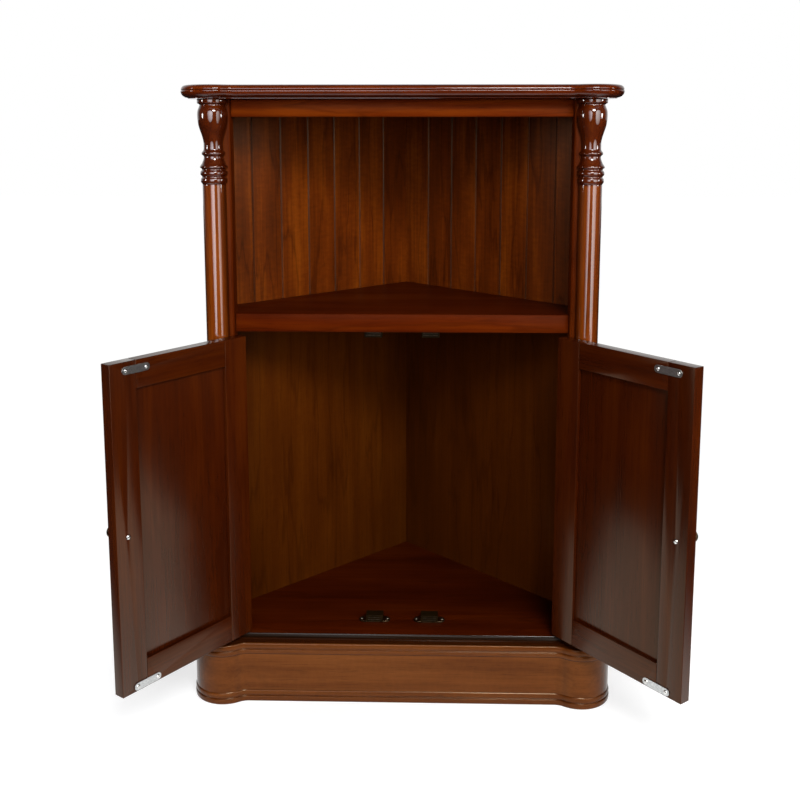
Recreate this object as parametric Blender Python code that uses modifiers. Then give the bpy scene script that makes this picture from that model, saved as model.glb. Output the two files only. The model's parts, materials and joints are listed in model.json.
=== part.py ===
"""Corner accent cabinet: an open bay with V-grooved backs over a two-door cupboard.

Metres, +Z up. The origin is on the floor, midway between the doors, in the plane of the
front stiles. +X is to the right, +Y runs back to the room's corner. The two backs stand
at 45 degrees to the front and meet in a square corner. The doors stand open.
"""

import math

import bmesh
import bpy
from mathutils import Matrix, Vector

# Case
OPENING_HALF = 0.2728
STILE_DEPTH = 0.030
STILE_ROUND = 0.0035
STILE_WIDTH = 0.0427
SIDE_DEPTH = 0.0775
SIDE_BOARD = 0.012
WALL_BOARD = 0.010
FIT = 0.0003
OVERRUN = 0.004
EASE = 0.001

# Levels and boards
CAP_TOP_Z = 0.105
FLOOR_BOARD = 0.0082
FLOOR_NOSING = 0.012
SHELF_TOP_Z = 0.660
SHELF_BOARD = 0.030
SHELF_SETBACK = 0.011
WALL_JOINT_DROP = 0.015
TOP_Z = 1.028
TOP_BOARD = 0.021
RAIL_HEIGHT = 0.028
RAIL_DEPTH = 0.020
FRONT_SETBACK = 0.010

# Top board: its rounded ears stand over the columns
TOP_EAR_Y = 0.006
TOP_EAR_RADIUS = 0.0505
TOP_EAR_STEP = 0.012
TOP_EAR_HOLLOW = 0.024
TOP_BACK_OVERHANG = 0.004
TOP_NOSE = 0.013

# Plinth: its ears stand a little further out than the columns
PLINTH_EAR_OUT = 0.003
PLINTH_EAR_Y = 0.008
PLINTH_EAR_RADIUS = 0.053
PLINTH_EAR_STEP = 0.0135
PLINTH_EAR_HOLLOW = 0.028
FRIEZE_INSET = 0.002
PLINTH_BAND = 0.018
BASE_HEIGHT = 0.020
CAP_BOARD = 0.020
PLINTH_BACK_BOARD = 0.012
BACK_BLOCK = 0.034
FRONT_BLOCK_LENGTH = 0.100
FRONT_BLOCK_DEPTH = 0.030

# Columns: half-round turnings on the front of the stiles
COLUMN_FROM_OPENING = 0.0267
SHAFT_RADIUS = 0.0190
CAPITAL_HEIGHT = 0.1355
FOOT_HEIGHT = 0.040
COLUMN_STEPS = 24

# Backs
GROOVE_PITCH = 0.0615
GROOVE_COUNT = 6
V_GROOVE = 0.0018
CLEAT = 0.018
CLEAT_LENGTH = 0.350

# Doors
LEFT_OPEN_DEG = 125.6
RIGHT_OPEN_DEG = 127.8
DOOR_THICK = 0.019
HINGE_GAP = 0.0015
MEETING_GAP = 0.002
DOOR_RISE = 0.003
HINGE_STILE = 0.0465
FREE_STILE = 0.047
TOP_RAIL_WIDTH = 0.043
BOTTOM_RAIL_WIDTH = 0.045
PANEL_THICK = 0.007
PANEL_GROOVE = 0.006
TENON_SHOULDER = 0.010
DOOR_EASE = 0.0006
FIELD_MARGIN = 0.024
FIELD_RISE = 0.0025
FIELD_EDGE = 0.0006
FIELD_STEP = 0.001

# Hinges
PIN_SETBACK = 0.005
LEAF_HEIGHT = 0.050
LEAF_THICK = 0.0012
LEAF_DEPTH = 0.0165
BARREL_RADIUS = 0.0032
BORE_RADIUS = 0.0018
KNUCKLE_LAP = 0.0009
KNUCKLES = 3
BARREL_SIDES = 10
PIN_RADIUS = 0.0014
PIN_HEAD_RADIUS = 0.0024
PIN_HEAD = 0.0012
HINGE_FROM_END = 0.080
GAIN_SLACK = 0.0006
LEAF_SCREW_SPAN = 0.030

# Knobs
KNOB_FROM_EDGE = 0.0215
KNOB_BELOW_MIDDLE = 0.008
KNOB_RADIUS = 0.010
KNOB_LENGTH = 0.024
KNOB_STEPS = 16

# Strike plates and catches
CATCH_X = 0.0475
PLATE_LENGTH = 0.051
PLATE_HEIGHT = 0.012
PLATE_THICK = 0.0012
PLATE_SCREW_SPAN = 0.0376
PLATE_BELOW_TOP = 0.013
PLATE_ABOVE_BOTTOM = 0.008
CATCH_GAP = 0.0006
CATCH_LENGTH = 0.055
CATCH_DEPTH = 0.020
CATCH_FOOT = 0.0025
CATCH_BODY = 0.030
CATCH_HEIGHT = 0.0125
CATCH_SCREW_SPAN = 0.0445
MAGNET_LENGTH = 0.024
MAGNET_DEPTH = 0.006
MAGNET_HEIGHT = 0.005
MAGNET_LIFT = 0.004
MAGNET_SLOT = 0.0006
MAGNET_PROUD = 0.0003
ROUND_STEPS = 5

# Screws: head radius, head height, shank radius, length
PAN_SCREW = (0.0032, 0.0012, 0.0013, 0.009)
SUNK_SCREW = (0.0022, 0.0009, 0.0011, 0.010)
KNOB_SCREW = (0.0040, 0.0020, 0.0016, 0.026)
SCREW_SIDES = 8
HOLE_SLACK = 0.0004

# Moulded edges, bottom to top: (share of the edge's depth, share of the board's thickness)
TOP_EDGE_shares = (
    (0.85, 0.00), (0.82, 0.06), (0.58, 0.09), (0.30, 0.19), (0.12, 0.31), (0.02, 0.45),
    (0.00, 0.54), (0.05, 0.60), (0.14, 0.63), (0.05, 0.67), (0.07, 0.76), (0.17, 0.87),
    (0.36, 0.96), (0.60, 1.00),
)
BASE_EDGE_shares = (
    (0.60, 0.00), (0.10, 0.07), (0.00, 0.24), (0.10, 0.42), (0.95, 0.51),
    (0.25, 0.60), (0.15, 0.76), (0.40, 0.91), (1.00, 1.00),
)
CAP_EDGE_shares = (
    (1.00, 0.00), (0.30, 0.08), (0.05, 0.22), (0.15, 0.36), (0.95, 0.45),
    (0.20, 0.54), (0.00, 0.70), (0.25, 0.86), (0.80, 0.96), (1.60, 1.00),
)

# Turnings: (share of the turning's height, share of the shaft's radius)
CAPITAL_shares = (
    (0.000, 1.22), (0.010, 1.28), (0.035, 1.28), (0.050, 1.25), (0.066, 1.08),
    (0.092, 1.13), (0.130, 1.24), (0.170, 1.28), (0.215, 1.28), (0.255, 1.26),
    (0.300, 1.21), (0.345, 1.12), (0.392, 1.01), (0.438, 0.91), (0.485, 0.84),
    (0.530, 0.82), (0.578, 0.83), (0.598, 0.88), (0.618, 0.99), (0.638, 0.99),
    (0.655, 0.87), (0.666, 0.83), (0.695, 0.86), (0.722, 0.93), (0.745, 1.00),
    (0.764, 1.09), (0.778, 1.16), (0.795, 1.16), (0.808, 1.03), (0.824, 1.03),
    (0.838, 1.12), (0.852, 1.15), (0.868, 1.15), (0.884, 1.10), (0.894, 1.02),
    (0.908, 1.02), (0.922, 1.10), (0.936, 1.12), (0.954, 1.12), (0.972, 1.08),
    (0.985, 1.00),
)
FOOT_shares = (
    (0.00, 1.13), (0.14, 1.13), (0.20, 1.04), (0.32, 1.10), (0.44, 1.12),
    (0.56, 1.10), (0.66, 1.03), (0.78, 1.06), (0.90, 1.04), (1.00, 1.00),
)
KNOB_shares = (
    (0.00, 0.60), (0.06, 0.66), (0.12, 0.54), (0.26, 0.44), (0.42, 0.56),
    (0.54, 0.82), (0.66, 0.98), (0.76, 1.00), (0.88, 0.86), (0.96, 0.55), (1.00, 0.00),
)
PAN_HEAD_shares = ((0.00, 1.00), (0.70, 0.85), (1.00, 0.00))
SCREW_POINT_share = 0.8
EAR_STEPS = 12
HOLLOW_STEPS = 4
FLAT_ANGLE = math.radians(0.1)

# Derived sizes
ROOT2 = math.sqrt(2.0)
SIDE_FACE_X = OPENING_HALF + STILE_WIDTH
CORNER_REACH = SIDE_FACE_X + SIDE_DEPTH
COLUMN_X = OPENING_HALF + COLUMN_FROM_OPENING
PLINTH_EAR_X = COLUMN_X + PLINTH_EAR_OUT
CASE_FOOT_Z = CAP_TOP_Z + FIT
FLOOR_TOP_Z = CASE_FOOT_Z + FLOOR_BOARD
SHELF_UNDER_Z = SHELF_TOP_Z - SHELF_BOARD
TOP_UNDER_Z = TOP_Z - TOP_BOARD
CASE_TOP_Z = TOP_UNDER_Z - FIT
WALL_OUTER_REACH = CORNER_REACH + WALL_BOARD * ROOT2
WALL_LENGTH = SIDE_FACE_X * ROOT2
WALL_JOINT_Z = SHELF_TOP_Z - WALL_JOINT_DROP
CAP_UNDER_Z = CAP_TOP_Z - CAP_BOARD
BAND_INSET = FRIEZE_INSET + PLINTH_BAND
BAND_INNER_X = PLINTH_EAR_X + PLINTH_EAR_RADIUS - PLINTH_EAR_STEP - BAND_INSET
BAND_INNER_Y = PLINTH_EAR_Y - PLINTH_EAR_RADIUS + PLINTH_EAR_STEP + BAND_INSET
PLINTH_INNER_REACH = WALL_OUTER_REACH - PLINTH_BACK_BOARD * ROOT2
DOOR_BOTTOM_Z = FLOOR_TOP_Z + DOOR_RISE
DOOR_TOP_Z = SHELF_UNDER_Z - DOOR_RISE
PIN_X = OPENING_HALF - HINGE_GAP / 2
PIN_Y = FRONT_SETBACK - PIN_SETBACK
DOOR_START = HINGE_GAP / 2
DOOR_END = PIN_X - MEETING_GAP / 2
DOOR_OUTER = PIN_SETBACK
DOOR_INNER = PIN_SETBACK + DOOR_THICK
DOOR_MIDDLE = PIN_SETBACK + DOOR_THICK / 2
PANEL_START = DOOR_START + HINGE_STILE
PANEL_END = DOOR_END - FREE_STILE
PANEL_LOW = DOOR_BOTTOM_Z + BOTTOM_RAIL_WIDTH
PANEL_HIGH = DOOR_TOP_Z - TOP_RAIL_WIDTH
PLATE_OUTER = DOOR_INNER + FIT + PLATE_THICK
CATCH_FRONT_Y = PIN_Y + PLATE_OUTER + CATCH_GAP
HINGE_LEVELS = (DOOR_BOTTOM_Z + HINGE_FROM_END, DOOR_TOP_Z - HINGE_FROM_END)
PLATE_LEVELS = (DOOR_BOTTOM_Z + PLATE_ABOVE_BOTTOM, DOOR_TOP_Z - PLATE_BELOW_TOP)
KNOB_Z = (DOOR_BOTTOM_Z + DOOR_TOP_Z) / 2 - KNOB_BELOW_MIDDLE
TOP_EAR = (COLUMN_X, TOP_EAR_Y, TOP_EAR_RADIUS, TOP_EAR_STEP, TOP_EAR_HOLLOW)
PLINTH_EAR = (PLINTH_EAR_X, PLINTH_EAR_Y, PLINTH_EAR_RADIUS, PLINTH_EAR_STEP, PLINTH_EAR_HOLLOW)
SIDES = ((-1, "left", LEFT_OPEN_DEG), (1, "right", RIGHT_OPEN_DEG))

# Turns that stand a flat outline up: its own third axis comes to point along -Y, or along +X
FLAT = Matrix.Identity(4)
FACING_FRONT = Matrix(((1, 0, 0, 0), (0, 0, -1, 0), (0, 1, 0, 0), (0, 0, 0, 1)))
FACING_SIDE = Matrix(((0, 0, 1, 0), (1, 0, 0, 0), (0, 1, 0, 0), (0, 0, 0, 1)))

for old in list(bpy.data.objects):
    bpy.data.objects.remove(old, do_unlink=True)

CABINET = bpy.data.collections.new("corner_cabinet")
CUTTERS = bpy.data.collections.new("cutters")
bpy.context.scene.collection.children.link(CABINET)
bpy.context.scene.collection.children.link(CUTTERS)


def look(name, colour, rough, metal=0.0):
    made = bpy.data.materials.new(name)
    made.use_nodes = True
    shader = made.node_tree.nodes["Principled BSDF"]
    shader.inputs["Base Color"].default_value = (*colour, 1.0)
    shader.inputs["Roughness"].default_value = rough
    shader.inputs["Metallic"].default_value = metal
    made.diffuse_color = (*colour, 1.0)
    return made


LACQUER = look("lacquered_mahogany", (0.150, 0.035, 0.014), 0.25)
PLINTH_LACQUER = look("lacquered_plinth", (0.215, 0.065, 0.020), 0.28)
STAINED = look("stained_back", (0.120, 0.045, 0.018), 0.40)
RAW = look("unfinished_softwood", (0.420, 0.270, 0.150), 0.70)
STEEL = look("plated_steel", (0.620, 0.620, 0.610), 0.30, 1.0)
BRONZE = look("antique_bronze", (0.160, 0.105, 0.060), 0.38, 1.0)
PLASTIC = look("brown_plastic", (0.030, 0.016, 0.010), 0.45)


def add(name, mesh, material=None, parent=None):
    """An object of the cabinet, or a hidden cutter where it has no material."""
    made = bpy.data.objects.new(name, mesh)
    made.parent = parent
    if material:
        CABINET.objects.link(made)
        mesh.materials.append(material)
    else:
        CUTTERS.objects.link(made)
        made.hide_render = True
        made.display_type = "WIRE"
    return made


def axis_empty(name, side, turn=0.0):
    """An empty on a door's hinge axis, with the plan directions of the closed door."""
    made = bpy.data.objects.new(name, None)
    CABINET.objects.link(made)
    made.location = (side * PIN_X, PIN_Y, 0.0)
    made.rotation_euler.z = turn
    return made


def mesh_of(work, name):
    bmesh.ops.recalc_face_normals(work, faces=work.faces)
    mesh = bpy.data.meshes.new(name)
    work.to_mesh(mesh)
    work.free()
    return mesh


def frozen(made):
    """The evaluated mesh of an object that is then removed."""
    bpy.context.view_layer.update()
    graph = bpy.context.evaluated_depsgraph_get()
    mesh = bpy.data.meshes.new_from_object(made.evaluated_get(graph))
    mesh.transform(made.matrix_world)
    bpy.data.objects.remove(made, do_unlink=True)
    return mesh


def joined(name, meshes):
    """Several meshes in one, each still a solid of its own."""
    work = bmesh.new()
    for mesh in meshes:
        work.from_mesh(mesh)
    return mesh_of(work, name)


def box(name, low, high):
    work = bmesh.new()
    verts = bmesh.ops.create_cube(work, size=1.0)["verts"]
    bmesh.ops.scale(work, vec=[abs(b - a) for a, b in zip(low, high)], verts=verts)
    bmesh.ops.translate(work, vec=[(a + b) / 2 for a, b in zip(low, high)], verts=verts)
    return mesh_of(work, name)


def upright_rod(name, level, radius, length):
    """A cylinder on the Z axis, centred on a level."""
    work = bmesh.new()
    bmesh.ops.create_cone(
        work, cap_ends=True, segments=BARREL_SIDES, radius1=radius, radius2=radius,
        depth=length, matrix=Matrix.Translation((0, 0, level)),
    )
    return mesh_of(work, name)


def slab(name, points, low, high, turn=FLAT):
    """A flat outline, filled and raised between two levels, then turned."""
    curve = bpy.data.curves.new(name, "CURVE")
    curve.dimensions = "2D"
    curve.fill_mode = "BOTH"
    curve.extrude = (high - low) / 2
    line = curve.splines.new("POLY")
    line.points.add(len(points) - 1)
    for corner, (x, y) in zip(line.points, points):
        corner.co = (x, y, 0.0, 1.0)
    line.use_cyclic_u = True
    drawn = bpy.data.objects.new(name, curve)
    CUTTERS.objects.link(drawn)
    drawn.matrix_world = turn @ Matrix.Translation((0, 0, (low + high) / 2))
    work = bmesh.new()
    work.from_mesh(frozen(drawn))
    bmesh.ops.remove_doubles(work, verts=work.verts, dist=FIT / 10)
    bmesh.ops.dissolve_limit(work, angle_limit=FLAT_ANGLE, verts=work.verts, edges=work.edges)
    return mesh_of(work, name)


def loft(name, rings):
    """A closed body through outlines that have the same count of points."""
    work = bmesh.new()
    made = [[work.verts.new(point) for point in ring] for ring in rings]
    count = len(rings[0])
    for lower, upper in zip(made, made[1:]):
        for i in range(count):
            j = (i + 1) % count
            work.faces.new((lower[i], lower[j], upper[j], upper[i]))
    ends = [work.faces.new(list(reversed(made[0]))), work.faces.new(made[-1])]
    work.normal_update()
    bmesh.ops.triangulate(work, faces=ends)
    return mesh_of(work, name)


def turned(name, profile, steps, material=None, parent=None):
    """A profile of (radius, height), top to bottom, swept round the object's own Z axis."""
    work = bmesh.new()
    verts = [work.verts.new((radius, 0, height)) for radius, height in profile]
    for upper, lower in zip(verts, verts[1:]):
        work.edges.new((upper, lower))
    mesh = bpy.data.meshes.new(name)
    work.to_mesh(mesh)
    work.free()
    made = add(name, mesh, material, parent)
    sweep = made.modifiers.new("turned", "SCREW")
    sweep.steps = steps
    sweep.render_steps = steps
    sweep.use_merge_vertices = True
    sweep.merge_threshold = FIT / 10
    sweep.use_smooth_shade = True
    return made


def combine(made, tool, operation="DIFFERENCE"):
    joint = made.modifiers.new(tool.name, "BOOLEAN")
    joint.operation = operation
    joint.object = tool
    joint.solver = "EXACT"


def ease(made, width=EASE, segments=1, limit="ANGLE"):
    rounding = made.modifiers.new("eased", "BEVEL")
    rounding.width = width
    rounding.segments = segments
    rounding.limit_method = limit
    rounding.angle_limit = math.radians(50)


def ease_front(made, front_y):
    """Rounds a board's long front edges only."""
    mesh = made.data
    weights = mesh.attributes.new("bevel_weight_edge", "FLOAT", "EDGE")
    for edge in mesh.edges:
        a, b = (mesh.vertices[i].co for i in edge.vertices)
        if max(a.y, b.y) < front_y + FIT and abs(a.x - b.x) > FIT:
            weights.data[edge.index].value = 1.0
    ease(made, EASE, 2, "WEIGHT")


def smooth(made, degrees=40):
    made.data.shade_smooth()
    made.data.set_sharp_from_angle(angle=math.radians(degrees))
    return made


def arc(centre, radius, start, end, steps):
    turns = [start + (end - start) * i / steps for i in range(steps + 1)]
    return [(centre[0] + radius * math.cos(t), centre[1] + radius * math.sin(t)) for t in turns]


def bar_plan(centre, length, height):
    """A bar with round ends about a centre point."""
    end = height / 2
    flat = length / 2 - end
    x, y = centre
    right = arc((x + flat, y), end, -math.pi / 2, math.pi / 2, ROUND_STEPS)
    return right + arc((x - flat, y), end, math.pi / 2, 3 * math.pi / 2, ROUND_STEPS)


def mirrored(points):
    """A plan outline's right half, front to back, made whole about X = 0."""
    return points + [(-x, y) for x, y in reversed(points) if x > FIT / 10]


def eared_front(inset, ear, reach):
    """The right half of an eared front: straight, hollow, round ear, hollow, side, 45-degree end."""
    ear_x, ear_y, radius, step, hollow = ear
    side = radius - step
    along = math.sqrt((radius + hollow) ** 2 - (side + hollow) ** 2)
    lean = math.atan2(side + hollow, along)
    front = (ear_x - along, ear_y - side - hollow)
    flank = (ear_x + side + hollow, ear_y + along)
    round_ear = arc((ear_x, ear_y), radius - inset, lean - math.pi, math.pi / 2 - lean, EAR_STEPS)
    points = [(0.0, ear_y - side + inset)]
    points += arc(front, hollow + inset, math.pi / 2, lean, HOLLOW_STEPS)
    points += round_ear[1:-1]
    points += arc(flank, hollow + inset, 3 * math.pi / 2 - lean, math.pi, HOLLOW_STEPS)
    return points + [(points[-1][0], reach - points[-1][0])]


def eared_plan(inset, ear, reach):
    return mirrored(eared_front(inset, ear, reach) + [(0.0, reach)])


def band_plan(inset):
    """The plinth's U-shaped band: the eared front and a second line inside it."""
    outer = eared_front(inset, PLINTH_EAR, WALL_OUTER_REACH)[1:]
    inner = eared_front(BAND_INSET, PLINTH_EAR, WALL_OUTER_REACH)[1:]
    right = outer + list(reversed(inner))
    return right + [(-x, y) for x, y in reversed(right)]


def moulded(name, plan, depth, low, thickness, edge_shares, material):
    """A board whose edge is lofted through copies of its outline, each set back by its share."""
    rings = []
    for deep, high in edge_shares:
        level = low + thickness * high
        rings.append([(x, y, level) for x, y in plan(depth * deep)])
    smooth(add(name, loft(name, rings), material))


def make_plinth():
    def cap_plan(inset):
        return eared_plan(inset, PLINTH_EAR, WALL_OUTER_REACH)

    moulded("plinth_base", band_plan, FRIEZE_INSET, 0.0, BASE_HEIGHT, BASE_EDGE_shares, PLINTH_LACQUER)
    moulded("plinth_cap", cap_plan, FRIEZE_INSET, CAP_UNDER_Z, CAP_BOARD, CAP_EDGE_shares, PLINTH_LACQUER)
    top = CAP_UNDER_Z - FIT
    frieze = slab("plinth_frieze", band_plan(FRIEZE_INSET), BASE_HEIGHT + FIT, top)
    smooth(add("plinth_frieze", frieze, PLINTH_LACQUER))
    for side, word, _ in SIDES:
        end = BAND_INNER_X - FIT
        plan = [(side * x, reach - x) for x, reach in (
            (FIT / 2, WALL_OUTER_REACH), (end, WALL_OUTER_REACH),
            (end, PLINTH_INNER_REACH), (FIT / 2, PLINTH_INNER_REACH),
        )]
        name = word + "_plinth_back"
        add(name, slab(name, plan, 0.0, top), RAW)
    back = PLINTH_INNER_REACH - FIT * ROOT2
    plan = [(0.0, back), (-BACK_BLOCK, back - BACK_BLOCK), (BACK_BLOCK, back - BACK_BLOCK)]
    add("plinth_back_block", slab("plinth_back_block", plan, BASE_HEIGHT, top), RAW)
    front = BAND_INNER_Y + FIT
    block = box("plinth_front_block", (-FRONT_BLOCK_LENGTH / 2, front, 0.0),
                (FRONT_BLOCK_LENGTH / 2, front + FRONT_BLOCK_DEPTH, top))
    ease(add("plinth_front_block", block, RAW))


def inside_plan(front_y):
    """Plan of a board that fills the case: between the stiles, then out to the sides and backs.

    The shoulders behind the stiles slope a little, so that they touch at their outer ends.
    """
    inner, outer = OPENING_HALF - FIT, SIDE_FACE_X - SIDE_BOARD - FIT
    reach = CORNER_REACH - FIT * ROOT2
    return mirrored([
        (0.0, front_y), (inner, front_y), (inner, STILE_DEPTH + FIT * 2),
        (outer, STILE_DEPTH + FIT), (outer, reach - outer), (0.0, reach),
    ])


def make_boards():
    def top_plan(inset):
        return eared_plan(inset, TOP_EAR, WALL_OUTER_REACH + TOP_BACK_OVERHANG)

    moulded("top_board", top_plan, TOP_NOSE, TOP_UNDER_Z, TOP_BOARD, TOP_EDGE_shares, LACQUER)
    floor = slab("floor_board", inside_plan(-FLOOR_NOSING), CASE_FOOT_Z, FLOOR_TOP_Z)
    ease_front(add("floor_board", floor, LACQUER), -FLOOR_NOSING)
    shelf = slab("shelf", inside_plan(SHELF_SETBACK), SHELF_UNDER_Z, SHELF_TOP_Z)
    ease_front(add("shelf", shelf, LACQUER), SHELF_SETBACK)
    rail = box("top_rail", (-OPENING_HALF + FIT, FRONT_SETBACK, CASE_TOP_Z - RAIL_HEIGHT),
               (OPENING_HALF - FIT, FRONT_SETBACK + RAIL_DEPTH, CASE_TOP_Z))
    ease_front(add("top_rail", rail, LACQUER), FRONT_SETBACK)


def make_stile(side, word):
    """A face stile with its inner front corner rounded, cut for the hinges' leaves and barrels."""
    corner = (OPENING_HALF + STILE_ROUND, STILE_ROUND)
    plan = arc(corner, STILE_ROUND, math.pi, 3 * math.pi / 2, ROUND_STEPS)
    plan += [(SIDE_FACE_X, 0.0), (SIDE_FACE_X, STILE_DEPTH), (OPENING_HALF, STILE_DEPTH)]
    name = word + "_stile"
    mesh = slab(name, [(side * x, y) for x, y in plan], CASE_FOOT_Z, CASE_TOP_Z)
    stile = smooth(add(name, mesh, LACQUER))
    mouth = side * (OPENING_HALF - OVERRUN)
    leaf_back = PIN_Y + BARREL_RADIUS + LEAF_DEPTH + FIT
    barrel = BARREL_RADIUS + GAIN_SLACK
    half = LEAF_HEIGHT / 2 + FIT
    tall = half + PIN_HEAD + GAIN_SLACK
    leaf_gains = [
        box("gain", (mouth, PIN_Y, level - half),
            (side * (OPENING_HALF + LEAF_THICK + FIT), leaf_back, level + half))
        for level in HINGE_LEVELS
    ]
    barrel_gains = [
        box("gain", (mouth, -OVERRUN, level - tall),
            (side * (PIN_X + barrel), PIN_Y + barrel, level + tall))
        for level in HINGE_LEVELS
    ]
    combine(stile, add(name + "_leaf_gains", joined(name + "_leaf_gains", leaf_gains)))
    combine(stile, add(name + "_barrel_gains", joined(name + "_barrel_gains", barrel_gains)))
    return stile


def make_column(side, word):
    """A full turning, with the half behind the stile's face taken off."""
    height = CASE_TOP_Z - CASE_FOOT_Z
    profile = [(0.0, height)]
    profile += [(SHAFT_RADIUS * b, height - CAPITAL_HEIGHT * a) for a, b in CAPITAL_shares]
    profile += [(SHAFT_RADIUS * b, FOOT_HEIGHT * a) for a, b in reversed(FOOT_shares)]
    profile.append((0.0, 0.0))
    column = turned(word + "_column", profile, COLUMN_STEPS, LACQUER)
    column.location = (side * COLUMN_X, 0.0, CASE_FOOT_Z)
    wide = SHAFT_RADIUS * 2
    name = word + "_column_back"
    behind = box(name, (side * COLUMN_X - wide, -FIT, CASE_FOOT_Z - OVERRUN),
                 (side * COLUMN_X + wide, wide, CASE_TOP_Z + OVERRUN))
    combine(column, add(name, behind))


def make_backs(side, word):
    """The open bay's grooved back, the cupboard's plain back and the top board's cleat."""

    def on_wall(name, corners, low, high, material):
        """A piece given in plan by (along the wall from the corner, out from its inner face)."""
        plan = [(side * (a + b) / ROOT2, CORNER_REACH + (b - a) / ROOT2) for a, b in corners]
        return add(name, slab(name, plan, low, high), material)

    start = FIT / ROOT2
    ends = [
        (WALL_LENGTH, 0.0), (WALL_LENGTH - WALL_BOARD, WALL_BOARD),
        (start - WALL_BOARD, WALL_BOARD), (start, 0.0),
    ]
    grooves = []
    for i in range(1, GROOVE_COUNT + 1):
        at = GROOVE_PITCH * i
        grooves += [(at - V_GROOVE, 0.0), (at, V_GROOVE), (at + V_GROOVE, 0.0)]
    on_wall(word + "_grooved_back", grooves + ends, WALL_JOINT_Z + FIT, CASE_TOP_Z, STAINED)
    on_wall(word + "_lower_back", ends, CASE_FOOT_Z, WALL_JOINT_Z, STAINED)
    first, last = CLEAT + FIT, CLEAT + FIT + CLEAT_LENGTH
    cleat = [(first, -FIT), (last, -FIT), (last, -CLEAT), (first, -CLEAT)]
    ease(on_wall(word + "_top_cleat", cleat, CASE_TOP_Z - CLEAT, CASE_TOP_Z, RAW))


def make_side_board(side, word):
    inner, front = SIDE_FACE_X - SIDE_BOARD, STILE_DEPTH + FIT
    reach = CORNER_REACH - FIT * ROOT2
    plan = [
        (side * inner, front), (side * SIDE_FACE_X, front),
        (side * SIDE_FACE_X, reach - SIDE_FACE_X), (side * inner, reach - inner),
    ]
    name = word + "_side_board"
    add(name, slab(name, plan, CASE_FOOT_Z, CASE_TOP_Z), LACQUER)


def screw_profile(head, height, shank, length, sunk):
    """A screw about the level of its seat: a pan head stands on it, a sunk head is let in."""
    if sunk:
        crown = [(0.0, 0.0), (head, 0.0), (shank, -height)]
    else:
        crown = [(head * wide, height * tall) for wide, tall in PAN_HEAD_shares] + [(shank, 0.0)]
    return crown + [(shank, -length * SCREW_POINT_share), (0.0, -length)]


def hole_profile(head, height, shank, length, sunk):
    """The hole for a screw, open above its seat."""
    bore = shank + HOLE_SLACK
    mouth = head + HOLE_SLACK if sunk else bore
    crown = [(0.0, OVERRUN), (mouth, OVERRUN), (mouth, 0.0)]
    if sunk:
        crown.append((bore, -height))
    return crown + [(bore, -length - HOLE_SLACK), (0.0, -length - HOLE_SLACK)]


def spread(name, profile, places):
    """Copies of one small turning, at points and the ways that they face."""
    pattern = frozen(turned(name, profile, SCREW_SIDES))
    copies = []
    for point, facing in places:
        turn = Vector(facing).to_track_quat("Z", "Y").to_matrix().to_4x4()
        copies.append(pattern.copy())
        copies[-1].transform(Matrix.Translation(point) @ turn)
    return joined(name, copies)


def screw_down(made, kind, sunk, places, carriers):
    """Makes a fitting's screws part of it, and cuts their holes in what carries it."""
    name = made.name + "_screws"
    screws = spread(name, screw_profile(*kind, sunk), places)
    combine(made, add(name, screws, None, made.parent), "UNION")
    drill(made.name, kind, sunk, places, carriers, made.parent)


def drill(name, kind, sunk, places, carriers, parent):
    """Screw holes through everything that the screws pass."""
    holes = add(name + "_holes", spread(name, hole_profile(*kind, sunk), places), None, parent)
    for carrier in carriers:
        combine(carrier, holes)


def make_catch(name, side, seat, seat_z, up):
    """A magnetic catch: a foot with round ears, a body with its magnet in a slot, and two screws."""
    centre = side * CATCH_X
    middle_y = CATCH_FRONT_Y + CATCH_DEPTH / 2
    low = seat_z + up * FIT
    lift = low + up * MAGNET_LIFT
    lid = lift + up * MAGNET_HEIGHT
    foot = bar_plan((centre, middle_y), CATCH_LENGTH, CATCH_DEPTH)
    housing = add(name, slab(name, foot, *sorted((low, low + up * CATCH_FOOT))), PLASTIC)
    body = box(name + "_body", (centre - CATCH_BODY / 2, CATCH_FRONT_Y, low + up * CATCH_FOOT / 2),
               (centre + CATCH_BODY / 2, CATCH_FRONT_Y + CATCH_DEPTH, low + up * CATCH_HEIGHT))
    combine(housing, add(name + "_body", body), "UNION")
    half = MAGNET_LENGTH / 2
    for label, spread_out, back in (
        ("_slot", MAGNET_SLOT, CATCH_FRONT_Y + MAGNET_DEPTH),
        ("_magnet", 0.0, CATCH_FRONT_Y + MAGNET_DEPTH + MAGNET_SLOT),
    ):
        front = CATCH_FRONT_Y - (OVERRUN if spread_out else MAGNET_PROUD)
        block = box(name + label, (centre - half - spread_out, front, lift - up * spread_out),
                    (centre + half + spread_out, back, lid + up * spread_out))
        combine(housing, add(name + label, block), "DIFFERENCE" if spread_out else "UNION")
    places = []
    for ear in (-1, 1):
        x = centre + ear * CATCH_SCREW_SPAN / 2
        places.append(((x, middle_y, low + up * (CATCH_FOOT - FIT)), (0, 0, up)))
    screw_down(housing, PAN_SCREW, False, places, seat)


def door_point(side, along, inward, up):
    """A point in a door's own frame: along it from the pin, in from the pin, and up."""
    return (-side * along, inward, up)


def door_box(side, name, low, high):
    return box(name, door_point(side, *low), door_point(side, *high))


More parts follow.
